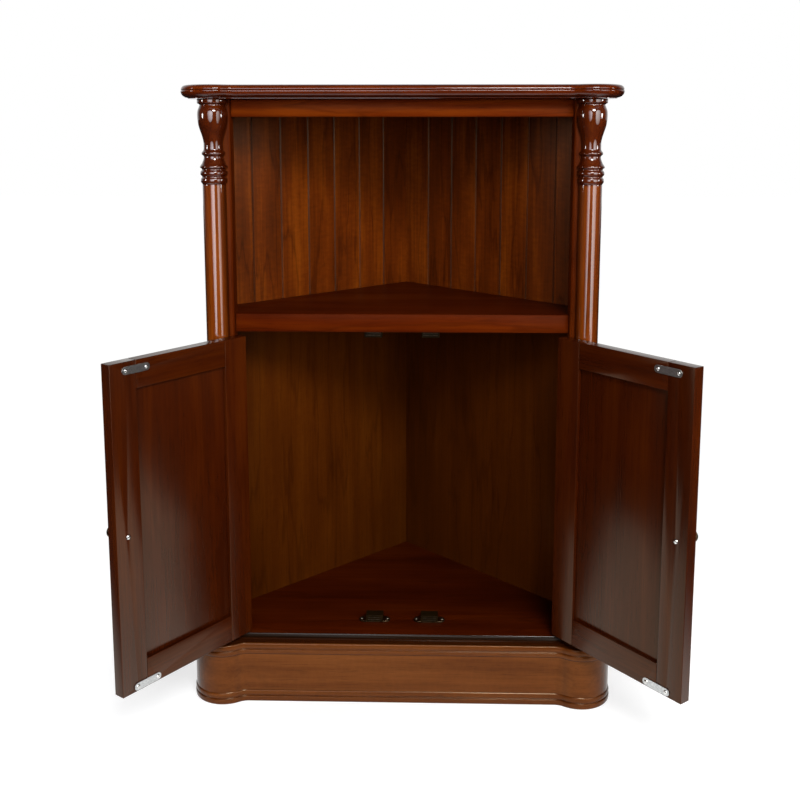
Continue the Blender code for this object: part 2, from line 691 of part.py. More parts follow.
def make_door(side, word, pivot):
    """Frame and panel, knob and strike plates; it gives back the stile that the hinges are let into."""
    name = word + "_door_"
    half = PANEL_THICK / 2
    groove = half + FIT
    stiles, rails = [], []
    slot = add(name + "stile_slot", door_box(
        side, name + "stile_slot",
        (PANEL_START - PANEL_GROOVE, DOOR_MIDDLE - groove, DOOR_BOTTOM_Z + TENON_SHOULDER - FIT),
        (PANEL_END + PANEL_GROOVE, DOOR_MIDDLE + groove, DOOR_TOP_Z - TENON_SHOULDER + FIT),
    ), None, pivot)
    for label, start, end in (
        ("hinge_stile", DOOR_START, PANEL_START), ("free_stile", PANEL_END, DOOR_END),
    ):
        mesh = door_box(side, name + label, (start, DOOR_OUTER, DOOR_BOTTOM_Z),
                        (end, DOOR_INNER, DOOR_TOP_Z))
        stile = add(name + label, mesh, LACQUER, pivot)
        ease(stile, DOOR_EASE)
        combine(stile, slot)
        stiles.append(stile)
    start, end = PANEL_START + FIT, PANEL_END - FIT
    reach = PANEL_GROOVE - FIT * 2
    for label, outer, inner, up in (
        ("top_rail", DOOR_TOP_Z, PANEL_HIGH, 1), ("bottom_rail", DOOR_BOTTOM_Z, PANEL_LOW, -1),
    ):
        mesh = door_box(side, name + label, (start, DOOR_OUTER, inner), (end, DOOR_INNER, outer))
        rail = add(name + label, mesh, LACQUER, pivot)
        ease(rail, DOOR_EASE)
        tenon = door_box(
            side, name + label + "_tenon",
            (start - reach, DOOR_MIDDLE - half, inner + up * PANEL_GROOVE),
            (end + reach, DOOR_MIDDLE + half, outer - up * TENON_SHOULDER),
        )
        channel = door_box(
            side, name + label + "_channel",
            (start - OVERRUN, DOOR_MIDDLE - groove, inner - up * OVERRUN),
            (end + OVERRUN, DOOR_MIDDLE + groove, inner + up * (PANEL_GROOVE - FIT)),
        )
        combine(rail, add(name + label + "_tenon", tenon, None, pivot), "UNION")
        combine(rail, add(name + label + "_channel", channel, None, pivot))
        rails.append(rail)
    make_panel(side, name + "panel", pivot)
    make_knob(side, name, stiles[1], pivot)
    for label, level, rail in zip(("lower_strike", "upper_strike"), PLATE_LEVELS, reversed(rails)):
        make_strike(side, name + label, level, [stiles[1], rail], pivot)
    return stiles[0]


def make_panel(side, name, pivot):
    """A panel let into the frame, fielded on the door's outer face."""
    edge = PANEL_GROOVE - FIT * 3
    mesh = door_box(
        side, name, (PANEL_START - edge, DOOR_MIDDLE - PANEL_THICK / 2, PANEL_LOW - edge),
        (PANEL_END + edge, DOOR_MIDDLE + PANEL_THICK / 2, PANEL_HIGH + edge),
    )
    work = bmesh.new()
    work.from_mesh(mesh)
    front = min(work.faces, key=lambda face: face.calc_center_median().y)
    bmesh.ops.inset_region(work, faces=[front], thickness=edge + FIT, depth=0.0)
    bmesh.ops.inset_region(work, faces=[front], thickness=FIELD_MARGIN, depth=FIELD_RISE)
    bmesh.ops.inset_region(work, faces=[front], thickness=FIELD_EDGE, depth=FIELD_STEP)
    add(name, mesh_of(work, name), LACQUER, pivot)


def make_knob(side, name, stile, pivot):
    """A turned knob on the outer face, held by a screw from the inside."""
    along = DOOR_END - KNOB_FROM_EDGE
    profile = [(KNOB_RADIUS * b, KNOB_LENGTH * a) for a, b in reversed(KNOB_shares)]
    knob = turned(name + "knob", profile + [(0.0, 0.0)], KNOB_STEPS, BRONZE, pivot)
    knob.location = door_point(side, along, DOOR_OUTER - FIT, KNOB_Z)
    knob.rotation_euler.x = math.pi / 2
    places = [(door_point(side, along, DOOR_INNER + FIT, KNOB_Z), (0, 1, 0))]
    label = name + "knob_screw"
    screw = spread(label, screw_profile(*KNOB_SCREW, False), places)
    smooth(add(label, screw, STEEL, pivot))
    drill(label, KNOB_SCREW, False, places, [stile, knob], pivot)


def make_strike(side, name, level, carriers, pivot):
    """A steel plate on the inner face, where a catch's magnet meets it, with its two screws."""
    centre = -side * (PIN_X - CATCH_X)
    plan = bar_plan((centre, level), PLATE_LENGTH, PLATE_HEIGHT)
    mesh = slab(name, plan, -PLATE_OUTER, -DOOR_INNER - FIT, FACING_FRONT)
    places = []
    for end in (-1, 1):
        x = centre + end * PLATE_SCREW_SPAN / 2
        places.append(((x, PLATE_OUTER - FIT, level), (0, 1, 0)))
    screw_down(add(name, mesh, STEEL, pivot), PAN_SCREW, False, places, carriers)


def knuckle_span(level, i):
    """The bottom and top of one knuckle of the hinge that is centred on a level."""
    pitch = LEAF_HEIGHT / KNUCKLES
    low = level - LEAF_HEIGHT / 2 + pitch * i
    return low + FIT / 2, low + pitch - FIT / 2


def leaf_plan(level, mine):
    """A leaf seen from the side: it reaches the barrel only at its own knuckles."""
    back, half = BARREL_RADIUS + LEAF_DEPTH, LEAF_HEIGHT / 2
    clear = BARREL_RADIUS + FIT * 2
    points = [(back, level + half), (back, level - half)]
    if 0 not in mine:
        points.append((clear, level - half))
    for i in mine:
        start, end = knuckle_span(level, i)
        near = BARREL_RADIUS - KNUCKLE_LAP
        points += [] if i == 0 else [(clear, start)]
        points += [(near, level - half if i == 0 else start)]
        points += [(near, level + half if i == KNUCKLES - 1 else end)]
        points += [] if i == KNUCKLES - 1 else [(clear, end)]
    if KNUCKLES - 1 not in mine:
        points.append((clear, level + half))
    return points


def make_leaf(name, level, face, mine, stile, parent):
    """One leaf of a butt hinge with its knuckles and screws, let into a stile."""
    inner, outer = HINGE_GAP / 2, HINGE_GAP / 2 + LEAF_THICK
    plate = slab(name, leaf_plan(level, mine), *sorted((face * inner, face * outer)), FACING_SIDE)
    leaf = add(name, plate, BRONZE, parent)
    knuckles = []
    for i in mine:
        start, end = knuckle_span(level, i)
        knuckles.append(upright_rod("knuckle", (start + end) / 2, BARREL_RADIUS, end - start))
    combine(leaf, add(name + "_knuckles", joined(name, knuckles), None, parent), "UNION")
    bore = upright_rod(name + "_bore", level, BORE_RADIUS, LEAF_HEIGHT + OVERRUN)
    combine(leaf, add(name + "_bore", bore, None, parent))
    places = []
    for hand in (-1, 1):
        up = level + hand * LEAF_SCREW_SPAN / 2
        seat = (face * (inner - FIT), BARREL_RADIUS + LEAF_DEPTH / 2, up)
        places.append((seat, (-face, 0, 0)))
    screw_down(leaf, SUNK_SCREW, True, places, [stile])


def make_hinge(side, name, level, stiles, pivot, frame):
    """A butt hinge: a leaf let into the door, a leaf let into the case stile, and the pin."""
    case_stile, door_stile = stiles
    make_leaf(name + "_door_leaf", level, -side, list(range(1, KNUCKLES, 2)), door_stile, pivot)
    make_leaf(name + "_case_leaf", level, side, list(range(0, KNUCKLES, 2)), case_stile, frame)
    top, foot = level + LEAF_HEIGHT / 2 + FIT, level - LEAF_HEIGHT / 2
    profile = [
        (0.0, top + PIN_HEAD), (PIN_HEAD_RADIUS, top + PIN_HEAD), (PIN_HEAD_RADIUS, top),
        (PIN_RADIUS, top), (PIN_RADIUS, foot), (0.0, foot),
    ]
    turned(name + "_pin", profile, BARREL_SIDES, BRONZE, frame)


def make_hinges(side, word, case_stile, door_stile, pivot):
    """The gains in the door's stile, and two hinges."""
    half = LEAF_HEIGHT / 2 + FIT
    gains = [
        door_box(side, "gain", (DOOR_START - OVERRUN, DOOR_OUTER - OVERRUN, level - half),
                 (DOOR_START + LEAF_THICK + FIT, BARREL_RADIUS + LEAF_DEPTH + FIT, level + half))
        for level in HINGE_LEVELS
    ]
    name = word + "_door_gains"
    combine(door_stile, add(name, joined(name, gains), None, pivot))
    frame = axis_empty(word + "_hinge_axis", side)
    for label, level in zip(("_lower_hinge", "_upper_hinge"), HINGE_LEVELS):
        make_hinge(side, word + label, level, (case_stile, door_stile), pivot, frame)


make_plinth()
make_boards()
for side, word, degrees in SIDES:
    case_stile = make_stile(side, word)
    make_column(side, word)
    make_backs(side, word)
    make_side_board(side, word)
    pivot = axis_empty(word + "_door_pivot", side, side * math.radians(degrees))
    door_stile = make_door(side, word, pivot)
    make_hinges(side, word, case_stile, door_stile, pivot)
    boards = bpy.data.objects
    make_catch(word + "_floor_catch", side, [boards["floor_board"]], FLOOR_TOP_Z, 1)
    make_catch(word + "_shelf_catch", side, [boards["shelf"]], SHELF_UNDER_Z, -1)
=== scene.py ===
# %% [markdown]
# # A corner cabinet with its doors open
#
# The real piece is a small cabinet for the corner of a room, in glossy reddish-brown wood: an
# open bay with boarded backs, turned half columns beside it, and a two-door cupboard below on a
# moulded plinth. The solids already exist at their true size, so this file gives them what they
# lack: soft edges, finer mouldings, real screws, wood, lacquer and metal, and the light of the
# photograph. Everything is in metres, in the solids' own frame.

import json
import math

import bmesh
import bpy
from mathutils import Matrix, Vector


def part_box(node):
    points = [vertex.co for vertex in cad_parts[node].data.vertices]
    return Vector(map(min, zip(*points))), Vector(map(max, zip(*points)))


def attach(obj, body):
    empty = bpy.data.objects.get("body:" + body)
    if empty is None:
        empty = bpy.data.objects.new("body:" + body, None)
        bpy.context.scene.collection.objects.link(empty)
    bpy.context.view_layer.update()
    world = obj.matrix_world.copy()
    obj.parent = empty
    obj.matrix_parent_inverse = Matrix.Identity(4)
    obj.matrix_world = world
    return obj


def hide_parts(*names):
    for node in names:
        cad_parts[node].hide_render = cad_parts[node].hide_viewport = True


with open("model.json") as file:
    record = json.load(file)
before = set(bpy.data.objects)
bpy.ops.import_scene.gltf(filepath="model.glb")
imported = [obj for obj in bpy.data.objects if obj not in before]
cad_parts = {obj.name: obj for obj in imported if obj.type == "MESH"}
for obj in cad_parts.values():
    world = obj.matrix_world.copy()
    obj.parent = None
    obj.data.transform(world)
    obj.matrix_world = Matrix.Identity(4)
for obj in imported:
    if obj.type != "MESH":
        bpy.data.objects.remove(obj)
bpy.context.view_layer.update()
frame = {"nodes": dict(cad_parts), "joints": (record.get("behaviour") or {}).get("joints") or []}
SIDES = (("left", -1), ("right", 1))

# %% [markdown]
# ## Where the doors stand
#
# A door is easiest to draw shut, flat along X with its hinge pin at zero. The record says where
# each pin is and how far the door is from shut, and that gives one matrix for each door. A piece
# is drawn shut and sent through the matrix, and a solid is measured by going back through it.

# %% Door matrices
def open_door(joint):
    """The matrix that carries a door drawn shut, pin at the origin, to where it stands open."""
    turned = -math.radians(joint["range_deg"][0])
    return Matrix.Translation(joint["pos_m"]) @ Matrix.Rotation(turned, 4, Vector(joint["axis"]))


DOOR = {joint["child"]: open_door(joint) for joint in frame["joints"]}


def shut_box(node, door):
    """A door solid's lowest and highest corners while the door is shut."""
    back = DOOR[door].inverted()
    points = [back @ vert.co for vert in frame["nodes"][node].data.vertices]
    return Vector(map(min, zip(*points))), Vector(map(max, zip(*points)))


for door, matrix in DOOR.items():
    print(door, "is open by", round(abs(math.degrees(matrix.to_euler().z)), 1), "degrees")

# %% [markdown]
# ## The camera
#
# The picture was taken from close by, a little to the right of the middle, with the lens at
# about the height of the top. The camera looks down a little, and a vertical shift frames the
# picture lower still, because a shift doesn't make the uprights lean, as more tilt would.

# %% Camera
PICTURE = 800
CAMERA_PLACE = (0.0416, -1.6536, 0.9539)
CAMERA_PITCH = math.radians(8.676)
CAMERA_YAW = math.radians(-1.520)
FOCAL_PIXELS = 1033.1
LENS_CENTRE_ROW = 290.4

eye = bpy.data.cameras.new("camera")
eye.sensor_width = 36.0
eye.lens = FOCAL_PIXELS * eye.sensor_width / PICTURE
eye.shift_y = -(PICTURE / 2 - LENS_CENTRE_ROW) / PICTURE
camera = bpy.data.objects.new("camera", eye)
camera.location = CAMERA_PLACE
camera.rotation_euler = (math.pi / 2 - CAMERA_PITCH, 0.0, -CAMERA_YAW)
bpy.context.scene.collection.objects.link(camera)
bpy.context.scene.camera = camera
print("lens", round(eye.lens, 1), "mm, shift", round(eye.shift_y, 3))

# %% [markdown]
# ## Node helpers
#
# Materials and Geometry Nodes are both trees of nodes. Three small helpers keep the trees below
# short: one makes a node and fills in its settings and inputs, one joins outputs to inputs, and
# one turns a range of values into another.

# %% Helpers for node trees
def add_node(tree, kind, inputs=None, **settings):
    """A node of that kind, with its settings and the values of its unlinked inputs."""
    made = tree.nodes.new(kind)
    for name, value in settings.items():
        setattr(made, name, value)
    for name, value in (inputs or {}).items():
        made.inputs[name].default_value = value
    return made


def wire(tree, *links):
    """Joins outputs to inputs: a link is (node, its output, next node, its input)."""
    for start, output, end, name in links:
        tree.links.new(start.outputs[output], end.inputs[name])


def fade(tree, source, output, near, far, at_near, at_far):
    """A value that runs evenly between two numbers while its source goes from near to far."""
    made = add_node(tree, "ShaderNodeMapRange", {
        "From Min": near, "From Max": far, "To Min": at_near, "To Max": at_far})
    wire(tree, (source, output, made, "Value"))
    return made


# %% [markdown]
# ## The figure of a board
#
# The cabinet is one wood in many directions: upright in the stiles, level in the rails, along
# each open door in its rails. The pattern is turned until the grain runs the right way, and it
# mixes what a board shows: cloudy stain, dark and light streaks, the arches where growth rings are
# cut, and fine fibres. Pictures of wood would repeat from board to board. These are noises and
# waves stretched along the grain, which never repeat, and a number stored on each piece slides
# them, so that two boards side by side never match.

# %% Figure
# how far the pattern slides from one board to the next, for a whole step of the board's number
BOARD_SLIDE = (3.1, 5.7, 1.9)
# each texture's scale, its stretch along the grain and its detail
CLOUDS = (13.0, 0.35, 3.0)
STREAKS = (38.0, 0.07, 5.0)
FIBRES = (210.0, 0.03, 3.0)
RINGS = (9.0, 0.16, 3.0)
WAVES = (70.0, 2.6, 2.0)
PORES = (900.0, 0.035, 1.0)
VEINS = (17.0, 0.11, 4.0)
RING_BEND = 7.0
RING_BEND_DETAIL = 1.6
STREAK_SHARE = 0.4
FIBRE_SHARE = 0.3


def along_grain(tree, place, board, grain):
    """Places on the piece, turned so that the grain runs along Z, and slid by its number."""
    slide = add_node(tree, "ShaderNodeVectorMath", operation="SCALE")
    slide.inputs[0].default_value = BOARD_SLIDE
    turn = add_node(tree, "ShaderNodeMapping")
    turn.inputs["Rotation"].default_value = Vector(grain).rotation_difference((0, 0, 1)).to_euler()
    along = add_node(tree, "ShaderNodeVectorMath", operation="ADD")
    wire(tree, (board, "Fac", slide, "Scale"),
         (place, "Object", turn, "Vector"),
         (turn, "Vector", along, 0),
         (slide, "Vector", along, 1))
    return along


def pattern(tree, along, values, kind="ShaderNodeTexNoise", **settings):
    """One texture, stretched along the grain."""
    scale, stretch, detail = values
    squeeze = add_node(tree, "ShaderNodeVectorMath", operation="MULTIPLY")
    squeeze.inputs[1].default_value = (1.0, 1.0, stretch)
    field = add_node(tree, kind, {"Scale": scale, "Detail": detail}, **settings)
    wire(tree, (along, "Vector", squeeze, 0),
         (squeeze, "Vector", field, "Vector"))
    return field


def blend(tree, weight, first, first_out, second):
    """The first value with a share of a second texture in it."""
    mixed = add_node(tree, "ShaderNodeMix", {"Factor": weight})
    wire(tree, (first, first_out, mixed, "A"),
         (second, "Fac", mixed, "B"))
    return mixed


def figure_of(tree, along, arch, ripple, fibres):
    """Clouds, streaks, the arches of the rings, fibres, and ripples across the grain."""
    rings = pattern(tree, along, RINGS, "ShaderNodeTexWave", wave_type="BANDS", bands_direction="X")
    rings.inputs["Distortion"].default_value = RING_BEND
    rings.inputs["Detail Scale"].default_value = RING_BEND_DETAIL
    clouds, streaks = pattern(tree, along, CLOUDS), pattern(tree, along, STREAKS)
    figure = blend(tree, STREAK_SHARE, clouds, "Fac", streaks)
    figure = blend(tree, arch, figure, "Result", rings)
    figure = blend(tree, FIBRE_SHARE, figure, "Result", fibres)
    if ripple:
        figure = blend(tree, ripple, figure, "Result", pattern(tree, along, WAVES))
    return figure


# %% [markdown]
# ## Dark lines and painted shade
#
# Two things darken the wood. Pores and thin veins are dark lines in it, narrow bands cut out of
# two more noises. And shade is painted into the colour by the way a face points: a material can
# darken its faces that point up or down, those that turn away from the front, or one side of each
# groove. Which way a face points is read from the surface's own normal, so no face has to be
# painted by hand.

# %% Dark lines and painted shade
# where in its noise a pore starts and is full, and how far from its contour a vein is full and ends
PORE_PEAKS = (0.62, 0.72)
VEIN_EDGES = (0.002, 0.02)
VEIN_CONTOUR = 0.5
PORE_COLOUR = (0.35, 0.28, 0.25, 1.0)
# the dark colour that painted shade multiplies into a face
PAINTED_SHADE_COLOUR = (0.12, 0.08, 0.06, 1.0)
# a part of the normal, its size where no shade is painted, and its size where the full shade is
SHADE_FACING_UP_OR_DOWN = ("Z", 0.15, 0.80)
SHADE_TURNED_FROM_FRONT = ("Y", 0.92, 0.30)
SHADE_IN_GROOVES = ("Y", 0.78, 0.95)
# a mix of colours has its sockets twice under one name, so these are their numbers
MIX_A, MIX_B, MIX_RESULT = 6, 7, 2


def dark_lines(tree, along, pores, veins):
    """How dark the pores and veins are: pores where a fine noise peaks, veins along a contour."""
    sparse = fade(tree, pattern(tree, along, PORES), "Fac", *PORE_PEAKS, 0.0, pores)
    middle = add_node(tree, "ShaderNodeMath", {1: VEIN_CONTOUR}, operation="SUBTRACT")
    width = add_node(tree, "ShaderNodeMath", operation="ABSOLUTE")
    wire(tree, (pattern(tree, along, VEINS), "Fac", middle, 0),
         (middle, "Value", width, 0))
    vein = fade(tree, width, "Value", *VEIN_EDGES, veins, 0.0)
    both = add_node(tree, "ShaderNodeMath", operation="MAXIMUM")
    wire(tree, (sparse, "Result", both, 0),
         (vein, "Result", both, 1))
    return both


def painted_shade_amount(tree, place, painted_shade, shaded_faces):
    """How much shade is painted on a face, by the size of one part of its normal."""
    normal = add_node(tree, "ShaderNodeSeparateXYZ")
    lean = add_node(tree, "ShaderNodeMath", operation="ABSOLUTE")
    part, bare, full = shaded_faces
    wire(tree, (place, "Normal", normal, "Vector"),
         (normal, part, lean, 0))
    return fade(tree, lean, "Value", bare, full, 0.0, painted_shade)


def darkened(tree, amount, amount_out, wood_colour, wood_out, dark):
    """The wood's colour multiplied by a dark one, by some amount."""
    mixed = add_node(tree, "ShaderNodeMix", data_type="RGBA", blend_type="MULTIPLY")
    mixed.inputs[MIX_B].default_value = dark
    wire(tree, (amount, amount_out, mixed, "Factor"),
         (wood_colour, wood_out, mixed, MIX_A))
    return mixed


# %% [markdown]
# ## Wood under lacquer
#
# One function makes every wood from the parts above. A ramp turns the figure into the wood's own
# tones, and the board's number shifts it a little, so that boards differ in tone as well. Turned
# and moulded work is polished: its lacquer is the shader's coat, a clear film that mirrors the
# lamps. Flat boards are satin, so their lacquer only blurs what stands before it, and tints it
# with the wood.

# %% Wood material
SATIN_TINT = (1.0, 0.78, 0.50, 1.0)
# the figure's values in dark and in light streaks, and how much duller and glossier these are
STREAK_VALUES = (0.3, 0.7)
DULLER, GLOSSIER = 0.07, 0.05
FIBRE_RELIEF = {"Strength": 0.12, "Distance": 0.0004}


def wood(name, tones, grain=(0, 0, 1), satin=0.03, rough=0.35, coat=0.0, coat_rough=0.05,
         coat_ior=1.5, pores=0.5, veins=0.4, arch=0.15, ripple=0.0, between=0.05, plain=0.22,
         painted_shade=0.35, shaded_faces=SHADE_FACING_UP_OR_DOWN):
    """Wood whose grain runs along one direction.

    The tones go from its darkest streaks to its lightest, and a larger plain brings all streaks
    closer to the middle one. The painted shade is how much darker the faces picked by shaded_faces
    are painted, by the way they point.
    """
    made = bpy.data.materials.new(name)
    made.use_nodes = True
    tree = made.node_tree
    shader = tree.nodes["Principled BSDF"]
    for label, value in (("Specular IOR Level", satin), ("Specular Tint", SATIN_TINT),
                         ("Coat Weight", coat), ("Coat IOR", coat_ior),
                         ("Coat Roughness", coat_rough)):
        shader.inputs[label].default_value = value
    made.diffuse_color = (*tones[1], 1.0)

    place = add_node(tree, "ShaderNodeTexCoord")
    board = add_node(tree, "ShaderNodeAttribute", attribute_name="board")
    along = along_grain(tree, place, board, grain)
    fibres = pattern(tree, along, FIBRES)
    figure = figure_of(tree, along, arch, ripple, fibres)
    shift = fade(tree, board, "Fac", 0.0, 1.0, -between, between)
    shifted = add_node(tree, "ShaderNodeMath", operation="ADD")
    ramp = add_node(tree, "ShaderNodeValToRGB")
    for stop, at, tone in zip(ramp.color_ramp.elements, (-plain, plain), (tones[0], tones[2])):
        stop.position, stop.color = 0.5 + at, (*tone, 1.0)
    ramp.color_ramp.elements.new(0.5).color = (*tones[1], 1.0)
    wire(tree, (figure, "Result", shifted, 0),
         (shift, "Result", shifted, 1),
         (shifted, "Value", ramp, "Fac"))
    lines = dark_lines(tree, along, pores, veins)
    lined = darkened(tree, lines, "Value", ramp, "Color", PORE_COLOUR)
    # painted shade: faces are darkened by the way their normal points, not by any lamp
    left = painted_shade_amount(tree, place, painted_shade, shaded_faces)
    with_painted_shade = darkened(tree, left, "Result", lined, MIX_RESULT, PAINTED_SHADE_COLOUR)

    dull = fade(tree, figure, "Result", *STREAK_VALUES, rough + DULLER, rough - GLOSSIER)
    relief = add_node(tree, "ShaderNodeBump", FIBRE_RELIEF)
    wire(tree, (with_painted_shade, MIX_RESULT, shader, "Base Color"),
         (dull, "Result", shader, "Roughness"),
         (fibres, "Fac", relief, "Height"),
         (relief, "Normal", shader, "Normal"))
    return made


# %% The cabinet's woods
# darkest streak, middle tone, lightest streak
STILE_BROWN = ((0.034, 0.0038, 0.0003), (0.064, 0.0085, 0.0005), (0.105, 0.0185, 0.0011))
RED_BROWN = ((0.045, 0.0045, 0.0003), (0.088, 0.0110, 0.0006), (0.145, 0.0250, 0.0014))
SHELF_BROWN = ((0.034, 0.0032, 0.0002), (0.067, 0.0077, 0.0004), (0.110, 0.0175, 0.0010))
TURNED_BROWN = ((0.070, 0.0095, 0.0005), (0.145, 0.0270, 0.0014), (0.220, 0.0520, 0.0035))
DOOR_BROWN = ((0.020, 0.0024, 0.0002), (0.040, 0.0056, 0.0004), (0.072, 0.0130, 0.0009))
GOLD_BROWN = ((0.064, 0.0130, 0.0016), (0.108, 0.0265, 0.0036), (0.156, 0.0440, 0.0075))
BACK_BROWN = ((0.030, 0.0050, 0.0003), (0.088, 0.0150, 0.0008), (0.185, 0.0410, 0.0024))
OLIVE_BROWN = ((0.030, 0.0060, 0.0004), (0.057, 0.0120, 0.0007), (0.096, 0.0240, 0.0015))
NEAR_BLACK = ((0.010, 0.0045, 0.0020), (0.016, 0.0070, 0.0032), (0.024, 0.0110, 0.0050))
PALE_SOFTWOOD = ((0.250, 0.140, 0.065), (0.390, 0.240, 0.120), (0.500, 0.330, 0.180))
LEVEL = (1, 0, 0)

# painted shade, by the way a face points: turnings, top and plinth darken where they turn from the
# front, the back boards on one side of each groove, the other boards on tops and undersides
POLISHED = wood("polished_turning", TURNED_BROWN, coat=1.0, coat_rough=0.03, coat_ior=1.6,
                painted_shade=0.85, shaded_faces=SHADE_TURNED_FROM_FRONT)
# a darker copy of the turned wood for the capital, painted shade for its hollows
CAPITAL_SHADED = wood("polished_capital", STILE_BROWN, coat=1.0, coat_rough=0.03, coat_ior=1.6,
                    painted_shade=0.6, shaded_faces=SHADE_TURNED_FROM_FRONT)
POLISHED_LEVEL = wood("polished_moulding", RED_BROWN, LEVEL, coat=0.8, coat_rough=0.06,
                      painted_shade=0.65, shaded_faces=SHADE_TURNED_FROM_FRONT)
SATIN = wood("satin_upright", STILE_BROWN)
SATIN_LEVEL = wood("satin_level", RED_BROWN, LEVEL, painted_shade=0.5)
SATIN_SHELF = wood("satin_shelf", SHELF_BROWN, LEVEL, painted_shade=0.3)
DOOR_FINISH = {"satin": 0.36, "rough": 0.22, "veins": 0.25, "plain": 0.26}
DOOR_UPRIGHT = wood("door_upright", DOOR_BROWN, **DOOR_FINISH)
DOOR_RAIL = {
    door: wood(door + "_rail_grain", DOOR_BROWN, matrix.to_3x3() @ Vector(LEVEL), **DOOR_FINISH)
    for door, matrix in DOOR.items()
}
PLINTH_GOLD = wood("plinth_gold", GOLD_BROWN, LEVEL, satin=0.22, rough=0.2, ripple=0.1, plain=0.2,
                   veins=0.15, painted_shade=0.85, shaded_faces=SHADE_TURNED_FROM_FRONT)
# near-black lacquer for the floor board's front edge, painted shadow for the gap above the plinth
SHADOW_NOSING = wood("dark_nosing", NEAR_BLACK, LEVEL, coat=1.0, coat_rough=0.08)
BACK_BOARDS = wood("back_boards", BACK_BROWN, satin=0.15, arch=0.1, ripple=0.15, plain=0.2,
                   veins=0.6, painted_shade=0.6, shaded_faces=SHADE_IN_GROOVES)
CUPBOARD_BACK = wood("cupboard_back", OLIVE_BROWN, satin=0.05, arch=0.1, ripple=0.1, plain=0.3)
BARE_WOOD = wood("bare_softwood", PALE_SOFTWOOD, LEVEL, satin=0.2, rough=0.7, pores=0.2, painted_shade=0.0)
print("woods:", len([m for m in bpy.data.materials if m.node_tree]))

# %% [markdown]
# ## Metals and plastic
#
# The strike plates are bright plated steel with fine brushing and a few dull spots. The hinges
# and knobs are bronze, unevenly darkened. The catches are moulded plastic with the faint mottle of
# the mould. They differ in colour, gloss and the size of their spots alone, so one function makes
# them all, and one noise gives each its unevenness in colour and roughness, with a little bump.

# %% Metal and plastic materials
# the bump's noise is finer than the spots, and its relief is slight
FINER = 9
SPOT_RELIEF = {"Strength": 0.15, "Distance": 0.0001}
# where in its noise the colour goes from dark to light, and the roughness beside its middle value
SPOT_STOPS = (0.35, 0.65)
SPOT_ROUGHNESS = (0.7, 1.3)


def fitting(name, dark, light, metal, rough, mottle, stretch=(1, 1, 1), shine=0.5):
    """A small fitting's material: one noise moves colour and roughness, a finer one the bump."""
    made = bpy.data.materials.new(name)
    made.use_nodes = True
    tree = made.node_tree
    shader = tree.nodes["Principled BSDF"]
    shader.inputs["Metallic"].default_value = metal
    shader.inputs["Specular IOR Level"].default_value = shine
    made.diffuse_color = (*light, 1.0)
    place = add_node(tree, "ShaderNodeTexCoord")
    squeeze = add_node(tree, "ShaderNodeMapping")
    squeeze.inputs["Scale"].default_value = stretch
    wire(tree, (place, "Object", squeeze, "Vector"))
    drift = add_node(tree, "ShaderNodeTexNoise", {"Scale": mottle, "Detail": 4.0})
    fine = add_node(tree, "ShaderNodeTexNoise", {"Scale": mottle * FINER, "Detail": 2.0})
    for field in (drift, fine):
        wire(tree, (squeeze, "Vector", field, "Vector"))
    ramp = add_node(tree, "ShaderNodeValToRGB")
    for stop, at, colour in zip(ramp.color_ramp.elements, SPOT_STOPS, (dark, light)):
        stop.position, stop.color = at, (*colour, 1.0)
    wire(tree, (drift, "Fac", ramp, "Fac"),
         (ramp, "Color", shader, "Base Color"))
    dull = fade(tree, drift, "Fac", 0.0, 1.0, *(rough * share for share in SPOT_ROUGHNESS))
    wire(tree, (dull, "Result", shader, "Roughness"))
    relief = add_node(tree, "ShaderNodeBump", SPOT_RELIEF)
    wire(tree, (fine, "Fac", relief, "Height"),
         (relief, "Normal", shader, "Normal"))
    return made


STEEL = fitting("plated_steel", (0.36, 0.37, 0.37), (0.58, 0.59, 0.58), 1.0, 0.32, 260.0, (1, 1, 4))
BRIGHT = fitting("bright_screw", (0.62, 0.61, 0.58), (0.80, 0.79, 0.76), 1.0, 0.22, 400.0)
BRONZE = fitting("antique_bronze", (0.050, 0.030, 0.016), (0.180, 0.115, 0.062), 1.0, 0.36, 150.0)
PLASTIC = fitting("brown_plastic", (0.006, 0.0030, 0.0008), (0.014, 0.0070, 0.0018), 0.0, 0.45,
                  300.0, shine=0.03)
WORN = fitting("worn_screw", (0.100, 0.080, 0.058), (0.200, 0.165, 0.125), 1.0, 0.42, 300.0)
MAGNET = fitting("magnet_faceplate", (0.030, 0.022, 0.014), (0.070, 0.054, 0.038), 1.0, 0.40, 300.0)
print("fittings:", [made.name for made in (STEEL, BRIGHT, BRONZE, PLASTIC, WORN, MAGNET)])

# %% [markdown]
# ## Pieces from solids
#
# A solid has knife-sharp edges, and real wood never has. Each flat board is copied from its
# solid, its loose triangles are merged back into faces, and a narrow bevel rounds every edge,
# so that the arrises catch the light. The copy stands where the solid stood. The two backs of the
# cupboard meet in the cabinet's corner, where rounded edges would leave a groove, so there the
# rounding is pressed flat again.

# %% Helpers for meshes
GOLDEN_STEP = 0.618
boards_made = 0


def number_board(mesh):
    """Stores one number on the whole piece, by which the wood slides its pattern."""
    global boards_made
    boards_made += 1
    value = (boards_made * GOLDEN_STEP) % 1.0
    mark = mesh.attributes.new("board", "FLOAT", "POINT")
    mark.data.foreach_set("value", [value] * len(mesh.vertices))


def mesh_of(name, work):
    """What was drawn in bmesh as a mesh of its own."""
    mesh = bpy.data.meshes.new(name)
    work.to_mesh(mesh)
    work.free()
    return mesh


def add_block(work, low, high):
    """A block between two corners."""
    verts = bmesh.ops.create_cube(work, size=1.0)["verts"]
    bmesh.ops.scale(work, vec=[abs(b - a) for a, b in zip(low, high)], verts=verts)
    bmesh.ops.translate(work, vec=[(a + b) / 2 for a, b in zip(low, high)], verts=verts)


